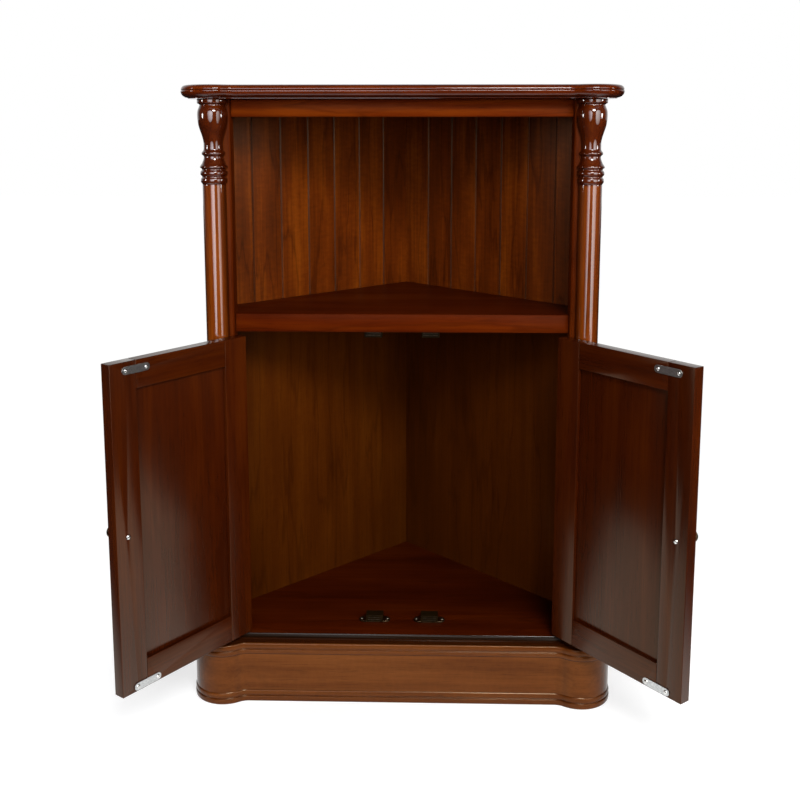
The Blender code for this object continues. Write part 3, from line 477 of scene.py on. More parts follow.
def raised(name, outline, low, high):
    """A flat outline raised from one height to another, with a lid at each end."""
    work = bmesh.new()
    face = work.faces.new([work.verts.new((x, y, low)) for x, y in outline])
    made = bmesh.ops.extrude_face_region(work, geom=[face])["geom"]
    bmesh.ops.translate(work, vec=(0, 0, high - low),
                        verts=[part for part in made if isinstance(part, bmesh.types.BMVert)])
    bmesh.ops.recalc_face_normals(work, faces=work.faces)
    return mesh_of(name, work)


# %% Helpers for objects
BOARD_EASE = 0.0009
collection = bpy.context.scene.collection


def object_of(name, mesh, material):
    mesh.materials.clear()
    mesh.materials.append(material)
    made = bpy.data.objects.new(name, mesh)
    collection.objects.link(made)
    return made


def frozen(made):
    """The object's evaluated mesh in place of its modifiers."""
    bpy.context.view_layer.update()
    graph = bpy.context.evaluated_depsgraph_get()
    mesh = bpy.data.meshes.new_from_object(made.evaluated_get(graph))
    made.modifiers.clear()
    made.data = mesh
    return made


def rounded(made, width, degrees=30):
    """A bevel on every edge sharper than the angle, with the flat faces kept flat."""
    bevel = made.modifiers.new("rounded", "BEVEL")
    bevel.width = width
    bevel.segments = 3
    bevel.limit_method = "ANGLE"
    bevel.angle_limit = math.radians(degrees)
    bevel.harden_normals = True
    made.data.shade_smooth()
    return frozen(made)


def settle(piece, body, slot, *nodes):
    """A finished piece rides on its body and stands for its solids, which it hides; its slot is not
    used.
    """
    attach(piece, body)
    if nodes:
        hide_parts(*nodes)
    return piece


def softened(node, body, slot, material, width=BOARD_EASE):
    """A board copied from its solid, with rounded edges."""
    work = bmesh.new()
    work.from_mesh(frame["nodes"][node].data)
    bmesh.ops.remove_doubles(work, verts=work.verts, dist=0.00002)
    bmesh.ops.dissolve_limit(work, angle_limit=0.005, verts=work.verts, edges=work.edges)
    name = node + "_board"
    piece = rounded(object_of(name, mesh_of(name, work), material), width)
    number_board(piece.data)
    return settle(piece, body, slot, node)


# %% Boards
LACQUERED = "lacquered_mahogany"
STILE_EASE = 0.0005
LEVEL_EASE = 0.0007
DOOR_EASE = 0.0004
NOSING_DEPTH = 0.002
MITRE_REACH = 0.0014
MITRE_GAP = 0.00001
for side, hand in SIDES:
    softened(side + "_stile", "case", LACQUERED, SATIN, STILE_EASE)
    softened(side + "_side_board", "case", LACQUERED, SATIN)
    back = softened(side + "_lower_back", "case", "stained_back", CUPBOARD_BACK)
    for vert in back.data.vertices:
        if abs(vert.co.x) < MITRE_REACH:
            vert.co.x = hand * MITRE_GAP
    softened(side + "_plinth_back", "case", "unfinished_softwood", BARE_WOOD)
    softened(side + "_top_cleat", "case", "unfinished_softwood", BARE_WOOD, STILE_EASE)
    door = side + "_door"
    for part in ("_hinge_stile", "_free_stile"):
        softened(door + part, door, LACQUERED, DOOR_UPRIGHT, DOOR_EASE)
    for part in ("_top_rail", "_bottom_rail"):
        softened(door + part, door, LACQUERED, DOOR_RAIL[door], DOOR_EASE)
    softened(door + "_panel", door, LACQUERED, DOOR_UPRIGHT, DOOR_EASE)
softened("top_rail", "case", LACQUERED, SATIN_LEVEL, LEVEL_EASE)
softened("shelf", "case", LACQUERED, SATIN_SHELF, LEVEL_EASE)
cupboard_floor = softened("floor_board", "case", LACQUERED, SATIN_LEVEL, LEVEL_EASE)
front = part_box("floor_board")[0][1]
# the front edge's faces take the near-black wood, painted shadow; its coat still mirrors the lamps
cupboard_floor.data.materials.append(SHADOW_NOSING)
for face in cupboard_floor.data.polygons:
    if face.center.y < front + NOSING_DEPTH:
        face.material_index = 1
for board in ("plinth_front_block", "plinth_back_block"):
    softened(board, "case", "unfinished_softwood", BARE_WOOD)
print("boards:", boards_made)

# %% [markdown]
# ## Mouldings with round ears
#
# The top and the plinth share one outline: a straight front that swells into a round ear over
# each column. A moulded edge is the same outline set back by a different amount at each height,
# so the edge is a stack of outlines joined into a skin. The outline is made of arcs, which
# stay round when they are set back, and the edge's profile is a smooth line through a few points.
# Faces that look away from the room, towards the walls, were never polished and are satin.

# %% Outline and skin
EAR_STEPS = 72
HOLLOW_STEPS = 20
ARRIS_FROM = math.radians(38)


def arc(centre, radius, start, end, steps):
    turns = [start + (end - start) * i / steps for i in range(steps + 1)]
    return [(centre[0] + radius * math.cos(t), centre[1] + radius * math.sin(t)) for t in turns]


def eared_front(inset, ear, reach):
    """The right half of an eared front: straight, hollow, ear, hollow, side, 45-degree end."""
    ear_x, ear_y, radius, step, hollow = ear
    side = radius - step
    along = math.sqrt((radius + hollow) ** 2 - (side + hollow) ** 2)
    lean = math.atan2(side + hollow, along)
    front = (ear_x - along, ear_y - side - hollow)
    flank = (ear_x + side + hollow, ear_y + along)
    round_ear = arc((ear_x, ear_y), radius - inset, lean - math.pi, math.pi / 2 - lean, EAR_STEPS)
    points = [(0.0, ear_y - side + inset)]
    points += arc(front, hollow + inset, math.pi / 2, lean, HOLLOW_STEPS)
    points += round_ear[1:-1]
    points += arc(flank, hollow + inset, 3 * math.pi / 2 - lean, math.pi, HOLLOW_STEPS)
    return points + [(points[-1][0], reach - points[-1][0])]


def mirrored(points):
    return points + [(-x, y) for x, y in reversed(points) if x > 0.00001]


def smooth_line(points, per):
    """A smooth line through all the points, with so many steps between each two."""
    ends = [points[0]] + list(points) + [points[-1]]
    line = []
    for a, b, c, d in zip(ends, ends[1:], ends[2:], ends[3:]):
        a, b, c, d = map(Vector, (a, b, c, d))
        for i in range(per):
            t = i / per
            line.append(0.5 * (2 * b + (c - a) * t + (2 * a - 5 * b + 4 * c - d) * t ** 2
                               + (3 * b - a - 3 * c + d) * t ** 3))
    return [tuple(p) for p in line] + [tuple(points[-1])]


# %% Skin over outlines
def skin(name, rings, material):
    """Closed outlines joined one above the other, with flat ends and a smooth side."""
    work = bmesh.new()
    made = [[work.verts.new(point) for point in ring] for ring in rings]
    count = len(rings[0])
    for lower, upper in zip(made, made[1:]):
        for i in range(count):
            j = (i + 1) % count
            work.faces.new((lower[i], lower[j], upper[j], upper[i])).smooth = True
    ends = [work.faces.new(list(reversed(made[0]))), work.faces.new(made[-1])]
    bmesh.ops.recalc_face_normals(work, faces=work.faces)
    for end in ends:
        for edge in end.edges:
            edge.smooth = False
    bmesh.ops.triangulate(work, faces=ends)
    mesh = mesh_of(name, work)
    mesh.set_sharp_from_angle(angle=ARRIS_FROM)
    number_board(mesh)
    return object_of(name, mesh, material)


# %% Plans and edges of the mouldings
CORNER_REACH = 0.393
BOARD_THICK = 0.010
BACK_REACH = CORNER_REACH + BOARD_THICK * math.sqrt(2)
TOP_OVERHANG = 0.004
# across and forward to the ear's centre, its radius, its step back to the flank, its hollow
TOP_EAR = (0.2995, 0.006, 0.0505, 0.012, 0.024)
PLINTH_EAR = (0.3025, 0.008, 0.053, 0.0135, 0.028)
PLAIN_EDGE = ((1.0, 0.0), (1.0, 1.0))
TOP_NOSE = 0.013
PLINTH_INSET = 0.002
BAND_INSET = 0.020
AWAY_FROM_ROOM = 0.65
# (share of the edge's depth, share of the board's thickness), bottom to top
TOP_EDGE = (
    (0.85, 0.00), (0.82, 0.06), (0.58, 0.09), (0.30, 0.19), (0.12, 0.31), (0.02, 0.45),
    (0.00, 0.54), (0.05, 0.60), (0.14, 0.63), (0.05, 0.67), (0.07, 0.76), (0.17, 0.87),
    (0.36, 0.96), (0.60, 1.00),
)
BASE_EDGE = (
    (0.60, 0.00), (0.10, 0.07), (0.00, 0.24), (0.10, 0.42), (0.95, 0.51),
    (0.25, 0.60), (0.15, 0.76), (0.40, 0.91), (1.00, 1.00),
)
CAP_EDGE = (
    (1.00, 0.00), (0.30, 0.08), (0.05, 0.22), (0.15, 0.36), (0.95, 0.45),
    (0.20, 0.54), (0.00, 0.70), (0.25, 0.86), (0.80, 0.96), (1.60, 1.00),
)


# %% Moulded boards
def whole_plan(inset, ear, reach):
    return mirrored(eared_front(inset, ear, reach) + [(0.0, reach)])


def band_plan(inset):
    """The plinth's bent band: the eared front, and a second line inside it."""
    outer = eared_front(inset, PLINTH_EAR, BACK_REACH)[1:]
    inner = eared_front(BAND_INSET, PLINTH_EAR, BACK_REACH)[1:]
    right = outer + list(reversed(inner))
    return right + [(-x, y) for x, y in reversed(right)]


def moulded(node, plan, depth, edge, material, slot):
    """A moulded board in the place of its solid."""
    low, high = (corner.z for corner in map(Vector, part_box(node)))
    rings = [
        [(x, y, low + (high - low) * up) for x, y in plan(depth * deep)]
        for deep, up in smooth_line(edge, 4)
    ]
    made = skin(node + "_moulded", rings, material)
    made.data.materials.append(SATIN_LEVEL)
    for face in made.data.polygons:
        if face.normal.y > AWAY_FROM_ROOM:
            face.material_index = 1
    print(node, "has", len(made.data.polygons), "faces")
    return settle(made, "case", slot, node)


moulded("top_board", lambda inset: whole_plan(inset, TOP_EAR, BACK_REACH + TOP_OVERHANG), TOP_NOSE,
        TOP_EDGE, POLISHED_LEVEL, LACQUERED)
moulded("plinth_cap", lambda inset: whole_plan(inset, PLINTH_EAR, BACK_REACH), PLINTH_INSET,
        CAP_EDGE, PLINTH_GOLD, "lacquered_plinth")
moulded("plinth_base", band_plan, PLINTH_INSET, BASE_EDGE, PLINTH_GOLD, "lacquered_plinth")
moulded("plinth_frieze", band_plan, PLINTH_INSET, PLAIN_EDGE, PLINTH_GOLD, "lacquered_plinth")

# %% [markdown]
# ## Turnings
#
# A column's shape follows a rule: a radius for every height. A row of points up an axis carries
# that radius as an attribute, and Geometry Nodes sweep a circle along it at that size. The same
# tree turns the knobs. The column is only half round, because it was sawn down its length and
# glued on, so the last step presses everything behind the sawn face flat. The capital's faces get a
# darker copy of the wood, painted shade for the shade in its hollows.

# %% Helpers for Geometry Nodes
def open_tree(name, sizes):
    """An empty Geometry Nodes tree with its named inputs."""
    tree = bpy.data.node_groups.new(name, "GeometryNodeTree")
    tree.interface.new_socket("Geometry", in_out="INPUT", socket_type="NodeSocketGeometry")
    for label, kind in sizes.items():
        tree.interface.new_socket(label, in_out="INPUT", socket_type="NodeSocket" + kind)
    tree.interface.new_socket("Geometry", in_out="OUTPUT", socket_type="NodeSocketGeometry")
    return tree


def close_tree(tree, last, output):
    """Every tree ends in real geometry with its material."""
    real = add_node(tree, "GeometryNodeRealizeInstances")
    paint = add_node(tree, "GeometryNodeSetMaterial")
    start = tree.nodes["Group Input"]
    out = add_node(tree, "NodeGroupOutput")
    wire(tree, (last, output, real, "Geometry"),
         (real, "Geometry", paint, "Geometry"),
         (start, "Material", paint, "Material"),
         (paint, "Geometry", out, "Geometry"))


def run_tree(made, tree, **values):
    """Sets the inputs by their identifiers, evaluates the tree and keeps the plain mesh."""
    work = made.modifiers.new(tree.name, "NODES")
    work.node_group = tree
    for item in tree.interface.items_tree:
        label = item.name.lower().replace(" ", "_")
        if item.in_out == "INPUT" and label in values:
            work[item.identifier] = values[label]
    made.update_tag()
    return frozen(made)


# %% Tree for turnings
turning_tree = open_tree("turning", {
    "Radius": "Float", "Steps": "Int", "Sawn Face": "Float", "Material": "Material"})
start = add_node(turning_tree, "NodeGroupInput", name="Group Input")
axis = add_node(turning_tree, "GeometryNodeMeshToCurve")
swell = add_node(turning_tree, "GeometryNodeInputNamedAttribute", {"Name": "swell"},
                 data_type="FLOAT")
resize = add_node(turning_tree, "GeometryNodeSetCurveRadius")
circle = add_node(turning_tree, "GeometryNodeCurvePrimitiveCircle")
sweep = add_node(turning_tree, "GeometryNodeCurveToMesh", {"Fill Caps": True})
press = add_node(turning_tree, "GeometryNodeSetPosition")
where = add_node(turning_tree, "GeometryNodeInputPosition")
split = add_node(turning_tree, "ShaderNodeSeparateXYZ")
limit = add_node(turning_tree, "ShaderNodeMath", operation="MINIMUM")
whole = add_node(turning_tree, "ShaderNodeCombineXYZ")
gloss = add_node(turning_tree, "GeometryNodeSetShadeSmooth")
wire(turning_tree, (start, "Geometry", axis, "Mesh"),
     (axis, "Curve", resize, "Curve"),
     (swell, "Attribute", resize, "Radius"),
     (start, "Radius", circle, "Radius"),
     (start, "Steps", circle, "Resolution"),
     (resize, "Curve", sweep, "Curve"),
     (circle, "Curve", sweep, "Profile Curve"))
wire(turning_tree, (swell, "Attribute", sweep, "Scale"),
     (where, "Position", split, "Vector"),
     (split, "Y", limit, 0),
     (start, "Sawn Face", limit, 1))
for letter in "XZ":
    wire(turning_tree, (split, letter, whole, letter))
wire(turning_tree, (limit, "Value", whole, "Y"),
     (sweep, "Mesh", press, "Geometry"),
     (whole, "Vector", press, "Position"),
     (press, "Geometry", gloss, "Geometry"))
close_tree(turning_tree, gloss, "Geometry")
print("turning tree:", len(turning_tree.nodes), "nodes")


# %% Turn a profile
def turning(name, profile, radius, steps, sawn_face, material, place):
    """Turns a profile of (height, share of the radius) and puts the result in its place."""
    mesh = bpy.data.meshes.new(name)
    steps_up = [(i, i + 1) for i in range(len(profile) - 1)]
    mesh.from_pydata([(0, 0, height) for height, _ in profile], steps_up, [])
    mark = mesh.attributes.new("swell", "FLOAT", "POINT")
    mark.data.foreach_set("value", [share for _, share in profile])
    made = bpy.data.objects.new(name, mesh)
    collection.objects.link(made)
    run_tree(made, turning_tree, radius=radius, steps=steps, sawn_face=sawn_face, material=material)
    made.data.transform(place)
    number_board(made.data)
    return made


# %% Columns
FIT = 0.0003
SHAFT_RADIUS = 0.0190
COLUMN_SIDES = 96
CAPITAL_HEIGHT = 0.1355
FOOT_HEIGHT = 0.040
# (share of the capital's height down from the top, share of the shaft's radius)
CAPITAL = (
    (0.000, 1.22), (0.010, 1.28), (0.035, 1.28), (0.050, 1.25), (0.066, 1.08),
    (0.092, 1.13), (0.130, 1.24), (0.170, 1.28), (0.215, 1.28), (0.255, 1.26),
    (0.300, 1.21), (0.345, 1.12), (0.392, 1.01), (0.438, 0.91), (0.485, 0.84),
    (0.530, 0.82), (0.578, 0.83), (0.598, 0.88), (0.618, 0.99), (0.638, 0.99),
    (0.655, 0.87), (0.666, 0.83), (0.695, 0.86), (0.722, 0.93), (0.745, 1.00),
    (0.764, 1.09), (0.778, 1.16), (0.795, 1.16), (0.808, 1.03), (0.824, 1.03),
    (0.838, 1.12), (0.852, 1.15), (0.868, 1.15), (0.884, 1.10), (0.894, 1.02),
    (0.908, 1.02), (0.922, 1.10), (0.936, 1.12), (0.954, 1.12), (0.972, 1.08),
    (0.985, 1.00), (1.000, 1.00),
)
# (share of the foot's height up from the bottom, share of the shaft's radius)
FOOT = (
    (0.00, 1.13), (0.14, 1.13), (0.20, 1.04), (0.32, 1.10), (0.44, 1.12),
    (0.56, 1.10), (0.66, 1.03), (0.78, 1.06), (0.90, 1.04), (1.00, 1.00),
)
for side, hand in SIDES:
    low, high = map(Vector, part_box(side + "_column"))
    profile = [(FOOT_HEIGHT * up, share) for up, share in smooth_line(FOOT, 5)]
    height = high.z - low.z
    profile += [(height - CAPITAL_HEIGHT * down, share)
                for down, share in reversed(smooth_line(CAPITAL, 5))]
    column = turning(side + "_column_turned", profile, SHAFT_RADIUS, COLUMN_SIDES, -FIT, POLISHED,
                     Matrix.Translation(((low.x + high.x) / 2, 0.0, low.z)))
    # painted shade: the capital's faces take the darker wood
    column.data.materials.append(CAPITAL_SHADED)
    for face in column.data.polygons:
        if face.center.z > high.z - CAPITAL_HEIGHT:
            face.material_index = 1
    settle(column, "case", LACQUERED, side + "_column")
print("column:", round(height, 4), "m,", len(column.data.polygons), "faces")

# %% [markdown]
# ## Boarded backs
#
# The open bay's backs are made of narrow boards with their long edges planed off, so that a
# V-shaped groove shows at each joint. One board is drawn, and Geometry Nodes repeat it along the
# wall. Every copy gets its own random number, by which the wood slides its pattern and changes
# tone from board to board, as real boards do.

# %% Tree for boards
# sockets that share their name with others on the node go by their number
RANDOM_FLOAT = 1
COMPARE_INT_A, COMPARE_INT_B = 2, 3

board_tree = open_tree("wall_boards", {
    "Count": "Int", "Pitch": "Float", "Last Width": "Float", "Seed": "Int", "Material": "Material"})
start = add_node(board_tree, "NodeGroupInput", name="Group Input")
row = add_node(board_tree, "GeometryNodeMeshLine")
step = add_node(board_tree, "ShaderNodeCombineXYZ")
lay = add_node(board_tree, "GeometryNodeInstanceOnPoints")
index = add_node(board_tree, "GeometryNodeInputIndex")
last = add_node(board_tree, "ShaderNodeMath", {1: 1.0}, operation="SUBTRACT")
is_last = add_node(board_tree, "FunctionNodeCompare", data_type="INT", operation="EQUAL")
wide = add_node(board_tree, "GeometryNodeSwitch", {"False": 1.0}, input_type="FLOAT")
size = add_node(board_tree, "ShaderNodeCombineXYZ", {"Y": 1.0, "Z": 1.0})
chance = add_node(board_tree, "FunctionNodeRandomValue", data_type="FLOAT")
keep = add_node(board_tree, "GeometryNodeStoreNamedAttribute", {"Name": "board"},
                data_type="FLOAT", domain="INSTANCE")
wire(board_tree, (start, "Pitch", step, "X"),
     (start, "Count", row, "Count"),
     (step, "Vector", row, "Offset"),
     (row, "Mesh", lay, "Points"),
     (start, "Geometry", lay, "Instance"),
     (start, "Count", last, 0),
     (index, "Index", is_last, COMPARE_INT_A),
     (last, "Value", is_last, COMPARE_INT_B),
     (is_last, "Result", wide, "Switch"),
     (start, "Last Width", wide, "True"),
     (wide, "Output", size, "X"),
     (size, "Vector", lay, "Scale"),
     (start, "Seed", chance, "Seed"),
     (lay, "Instances", keep, "Geometry"),
     (chance, RANDOM_FLOAT, keep, "Value"))
close_tree(board_tree, keep, "Geometry")
print("board tree:", len(board_tree.nodes), "nodes")

# %% Boarded backs
BOARD_PITCH = 0.0615
BOARD_COUNT = 7
BOARD_JOINT = 0.00001
GROOVE = 0.0018
WALL_LENGTH = 0.3155 * math.sqrt(2)
BOARD_SEED = 3


def one_board(name, low, high):
    """A board standing on the wall's line, with the groove planed off its two visible edges."""
    left, right = BOARD_JOINT, BOARD_PITCH - BOARD_JOINT
    section = [
        (left, BOARD_THICK), (left, GROOVE), (left + GROOVE, 0.0),
        (right - GROOVE, 0.0), (right, GROOVE), (right, BOARD_THICK),
    ]
    return raised(name, section, low, high)


for side, hand in SIDES:
    node = side + "_grooved_back"
    low, high = map(Vector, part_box(node))
    name = side + "_back_boards"
    wall = object_of(name, one_board(name, low.z, high.z), BACK_BOARDS)
    last_width = (WALL_LENGTH - BOARD_PITCH * (BOARD_COUNT - 1)) / BOARD_PITCH
    run_tree(wall, board_tree, count=BOARD_COUNT, pitch=BOARD_PITCH, last_width=last_width,
             seed=BOARD_SEED + hand, material=BACK_BOARDS)
    for vert in wall.data.vertices:
        if vert.co.x < GROOVE * 2:
            vert.co.x = BOARD_JOINT - vert.co.y
    along = Vector((hand, -1, 0)).normalized()
    outward = Vector((hand, 1, 0)).normalized()
    place = Matrix(((along.x, outward.x, 0, 0), (along.y, outward.y, 0, CORNER_REACH),
                    (0, 0, 1, 0), (0, 0, 0, 1)))
    wall.data.transform(place)
    if place.determinant() < 0:
        wall.data.flip_normals()
    settle(wall, "case", "stained_back", node)
    tones = {round(item.value, 3) for item in wall.data.attributes["board"].data}
    print(side, "wall:", len(wall.data.polygons), "faces in", len(tones), "tones")

# %% [markdown]
# ## Knobs
#
# Each knob is a small bronze turning on the door's outer face. The columns' tree turns it too, so
# a second profile is all that it needs. It is drawn on the shut door, its axis pointing to the
# front, and swung out with the door.

# %% Knobs
KNOB_RADIUS = 0.010
KNOB_SIDES = 48
NOT_SAWN = 1.0
KNOB_TIP = 0.02
# (share of the knob's length from the door, share of its radius)
KNOB = (
    (0.00, 0.60), (0.06, 0.66), (0.12, 0.54), (0.26, 0.44), (0.42, 0.56),
    (0.54, 0.82), (0.66, 0.98), (0.76, 1.00), (0.88, 0.86), (0.96, 0.55), (1.00, 0.02),
)
for side, hand in SIDES:
    door = side + "_door"
    low, high = shut_box(door + "_knob", door)
    length = high.y - low.y
    profile = [(length * up, max(share, KNOB_TIP)) for up, share in smooth_line(KNOB, 6)]
    place = DOOR[door] @ Matrix.Translation(((low.x + high.x) / 2, high.y, (low.z + high.z) / 2))
    place = place @ Matrix.Rotation(math.pi / 2, 4, "X")
    knob = turning(door + "_knob_turned", profile, KNOB_RADIUS, KNOB_SIDES, NOT_SAWN, BRONZE,
                   place)
    settle(knob, door, "antique_bronze", door + "_knob")
print("knob:", round(length, 4), "m long")

# %% [markdown]
# ## Screws
#
# Every small fitting is held by screws with a rounded head and a cross recess. One head is
# drawn, one unit in radius. Points carry the place, facing and size of every screw on a body,
# and Geometry Nodes set a head on each point. Each is spun a little further than the last one,
# because real screws don't come to rest with their crosses in line.

# %% One screw head
HEAD_SIDES = 20
HEAD_ARRIS_FROM = math.radians(40)
# (distance from the head's axis, height), from the rim under the head up to its top
HEAD_PROFILE = ((1.0, -0.35), (1.0, 0.0), (0.98, 0.10), (0.90, 0.24), (0.74, 0.38), (0.50, 0.48),
                (0.25, 0.53), (0.0, 0.55))
# half the long arm of the cross, half its width, the depth of its floor and a top above the head
CROSS = (0.475, 0.085, 0.20, 0.80)


def screw_head():
    """A rounded head, one unit in radius, with a cross cut into it."""
    work = bmesh.new()
    verts = [work.verts.new((out, 0, up)) for out, up in HEAD_PROFILE]
    edges = [work.edges.new(pair) for pair in zip(verts, verts[1:])]
    bmesh.ops.spin(work, geom=verts + edges, axis=(0, 0, 1), cent=(0, 0, 0), angle=2 * math.pi,
                   steps=HEAD_SIDES)
    bmesh.ops.remove_doubles(work, verts=work.verts, dist=0.0001)
    rim = [edge for edge in work.edges if edge.is_boundary]
    bmesh.ops.holes_fill(work, edges=rim)
    bmesh.ops.recalc_face_normals(work, faces=work.faces)
    head = object_of("screw_head", mesh_of("screw_head", work), BRIGHT)
    cross = bmesh.new()
    reach, half, floor, lid = CROSS
    for x, y in ((reach, half), (half, reach)):
        add_block(cross, (-x, -y, floor), (x, y, lid))
    cutter = object_of("cross", mesh_of("cross", cross), BRIGHT)
    cut = head.modifiers.new("cross", "BOOLEAN")
    cut.operation = "DIFFERENCE"
    cut.object = cutter
    cut.solver = "EXACT"
    cut.use_self = True
    frozen(head)
    bpy.data.objects.remove(cutter, do_unlink=True)
    head.data.shade_smooth()
    head.data.set_sharp_from_angle(angle=HEAD_ARRIS_FROM)
    return head


HEAD = screw_head()
print("screw head:", len(HEAD.data.polygons), "faces")

# %% Tree for screws
screw_tree = open_tree("screws", {"Head": "Object", "Material": "Material"})
start = add_node(screw_tree, "NodeGroupInput", name="Group Input")
model = add_node(screw_tree, "GeometryNodeObjectInfo")
set_heads = add_node(screw_tree, "GeometryNodeInstanceOnPoints")
facing = add_node(screw_tree, "GeometryNodeInputNamedAttribute", {"Name": "facing"},
                  data_type="FLOAT_VECTOR")
spun = add_node(screw_tree, "GeometryNodeInputNamedAttribute", {"Name": "spin"}, data_type="FLOAT")
wide = add_node(screw_tree, "GeometryNodeInputNamedAttribute", {"Name": "size"}, data_type="FLOAT")
aim = add_node(screw_tree, "FunctionNodeAlignRotationToVector", axis="Z")
own = add_node(screw_tree, "FunctionNodeAxisAngleToRotation", {"Axis": (0, 0, 1)})
both = add_node(screw_tree, "FunctionNodeRotateRotation", rotation_space="LOCAL")
wire(screw_tree, (start, "Geometry", set_heads, "Points"),
     (start, "Head", model, "Object"),
     (model, "Geometry", set_heads, "Instance"),
     (facing, "Attribute", aim, "Vector"),
     (spun, "Attribute", own, "Angle"),
     (aim, "Rotation", both, "Rotation"),
     (own, "Rotation", both, "Rotate By"),
     (both, "Rotation", set_heads, "Rotation"),
     (wide, "Attribute", set_heads, "Scale"))
close_tree(screw_tree, set_heads, "Instances")
print("screw tree:", len(screw_tree.nodes), "nodes")


# %% Drive the screws
SPIN_STEP = 0.7


def drive_screws(name, body, slot, material, places, *nodes):
    """One piece with all the screws of a body: places are (point, facing, head radius)."""
    mesh = bpy.data.meshes.new(name)
    mesh.from_pydata([point for point, _, _ in places], [], [])
    ways = mesh.attributes.new("facing", "FLOAT_VECTOR", "POINT")
    ways.data.foreach_set("vector", [value for _, way, _ in places for value in way])
    for label, values in (("spin", [SPIN_STEP * i for i in range(len(places))]),
                          ("size", [radius for _, _, radius in places])):
        mesh.attributes.new(label, "FLOAT", "POINT").data.foreach_set("value", values)
    made = bpy.data.objects.new(name, mesh)
    collection.objects.link(made)
    run_tree(made, screw_tree, head=HEAD, material=material)
    return settle(made, body, slot, *nodes)


# %% [markdown]
# ## Strike plates
#
# A strike plate is a strip of steel with round ends, where a catch's magnet grips the door. It is
# cut from sheet, so it is drawn as a flat outline on the shut door and raised to its thickness,
# and a bevel takes the sharpness off its edge.

# %% Strike plates and door screws
PAN_RADIUS = 0.0032
KNOB_SCREW_RADIUS = 0.0040
PLATE_THICK = 0.0012
PLATE_SCREW_SPAN = 0.0376
PLATE_EASE = 0.0003
END_STEPS = 20
FLAT_TO_UPRIGHT = Matrix(((1, 0, 0, 0), (0, 0, 1, 0), (0, 1, 0, 0), (0, 0, 0, 1)))


def bar(name, centre, length, width, depth, material, place, edge=PLATE_EASE):
    """A bar with round ends, drawn flat, raised by its depth towards +Z and put in its place."""
    end, x, y = width / 2, *centre
    flat = length / 2 - end
    outline = arc((x + flat, y), end, -math.pi / 2, math.pi / 2, END_STEPS)
    outline += arc((x - flat, y), end, math.pi / 2, 3 * math.pi / 2, END_STEPS)
    made = rounded(object_of(name, raised(name, outline, 0.0, depth), material), edge,
                   degrees=50)
    made.data.transform(place)
    if place.determinant() < 0:
        made.data.flip_normals()
    return made


for side, hand in SIDES:
    door = side + "_door"
    inward = DOOR[door].to_3x3() @ Vector((0, 1, 0))
    places = []
    for level in ("lower", "upper"):
        node = door + "_" + level + "_strike"
        low, high = shut_box(node, door)
        back = shut_box(door + "_free_stile", door)[1].y + FIT
        centre = ((low.x + high.x) / 2, (low.z + high.z) / 2)
        stand = DOOR[door] @ Matrix.Translation((0, back, 0)) @ FLAT_TO_UPRIGHT
        plate = bar(node + "_plate", centre, high.x - low.x, high.z - low.z, PLATE_THICK, STEEL,
                    stand)
        settle(plate, door, "plated_steel", node)
        for end in (-1, 1):
            spot = (centre[0] + end * PLATE_SCREW_SPAN / 2, back + PLATE_THICK, centre[1])
            places.append((DOOR[door] @ Vector(spot), inward, PAN_RADIUS))
    low, high = shut_box(door + "_knob_screw", door)
    spot = ((low.x + high.x) / 2, back, (low.z + high.z) / 2)
    places.append((DOOR[door] @ Vector(spot), inward, KNOB_SCREW_RADIUS))
    drive_screws(door + "_screws", door, "plated_steel", BRIGHT, places, door + "_knob_screw")
print("plates and screws for", len(DOOR), "doors")

# %% [markdown]
# ## Catches
#
# A magnetic catch is a moulded block on a thin foot with two round ears. Steel faceplates stand
# a little proud of its mouth with the magnet between them, and a screw goes through each ear.
# The two on the floor stand up and the two under the shelf hang down, so a sign does the turning.

# %% Catches
CATCH_FOOT = 0.0025
CATCH_BODY = 0.030
CATCH_HEIGHT = 0.0125
CATCH_SCREW_SPAN = 0.0445
CATCH_EASE = 0.0010
FOOT_EASE = 0.0005
MAGNET_LIFT = 0.0040
MAGNET_HEIGHT = 0.0050
FACEPLATE = 0.0012
FACEPLATE_HALF = 0.012
FACEPLATE_DEPTH = 0.004
FACEPLATE_EASE = 0.0002
catch_screws = []


def block(name, low, high, material, edge, slot):
    """A block of the case between two corners, with rounded edges."""
    work = bmesh.new()
    add_block(work, low, high)
    made = rounded(object_of(name, mesh_of(name, work), material), edge)
    return settle(made, "case", slot)


for side, hand in SIDES:
    for level, up in (("floor", 1), ("shelf", -1)):
        node = side + "_" + level + "_catch"
        low, high = map(Vector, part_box(node))
        top = high.z if up > 0 else low.z
        seat = top - up * CATCH_HEIGHT
        x, front, depth = (low.x + high.x) / 2, low.y + FIT, high.y - low.y - FIT
        stand = Matrix.Translation((0, 0, seat)) @ Matrix.Diagonal((1, 1, up, 1))
        foot = bar(node + "_foot", (x, front + depth / 2), high.x - low.x, depth, CATCH_FOOT,
                   BRONZE, stand, FOOT_EASE)
        settle(foot, "case", "brown_plastic", node)
        half = CATCH_BODY / 2
        block(node + "_housing", (x - half, front, seat + up * CATCH_EASE),
              (x + half, front + depth, top), PLASTIC, CATCH_EASE, "brown_plastic")
        for i, lift in enumerate((MAGNET_LIFT, MAGNET_LIFT + MAGNET_HEIGHT - FACEPLATE)):
            block(node + "_faceplate_%d" % i, (x - FACEPLATE_HALF, front - FIT, seat + up * lift),
                  (x + FACEPLATE_HALF, front + FACEPLATE_DEPTH, seat + up * (lift + FACEPLATE)),
                  MAGNET, FACEPLATE_EASE, "plated_steel")
        for ear in (-1, 1):
            spot = (x + ear * CATCH_SCREW_SPAN / 2, front + depth / 2, seat + up * CATCH_FOOT)
            catch_screws.append((spot, (0, 0, up), PAN_RADIUS))
drive_screws("catch_screws", "case", "plated_steel", WORN, catch_screws)
print("catch screws:", len(catch_screws))

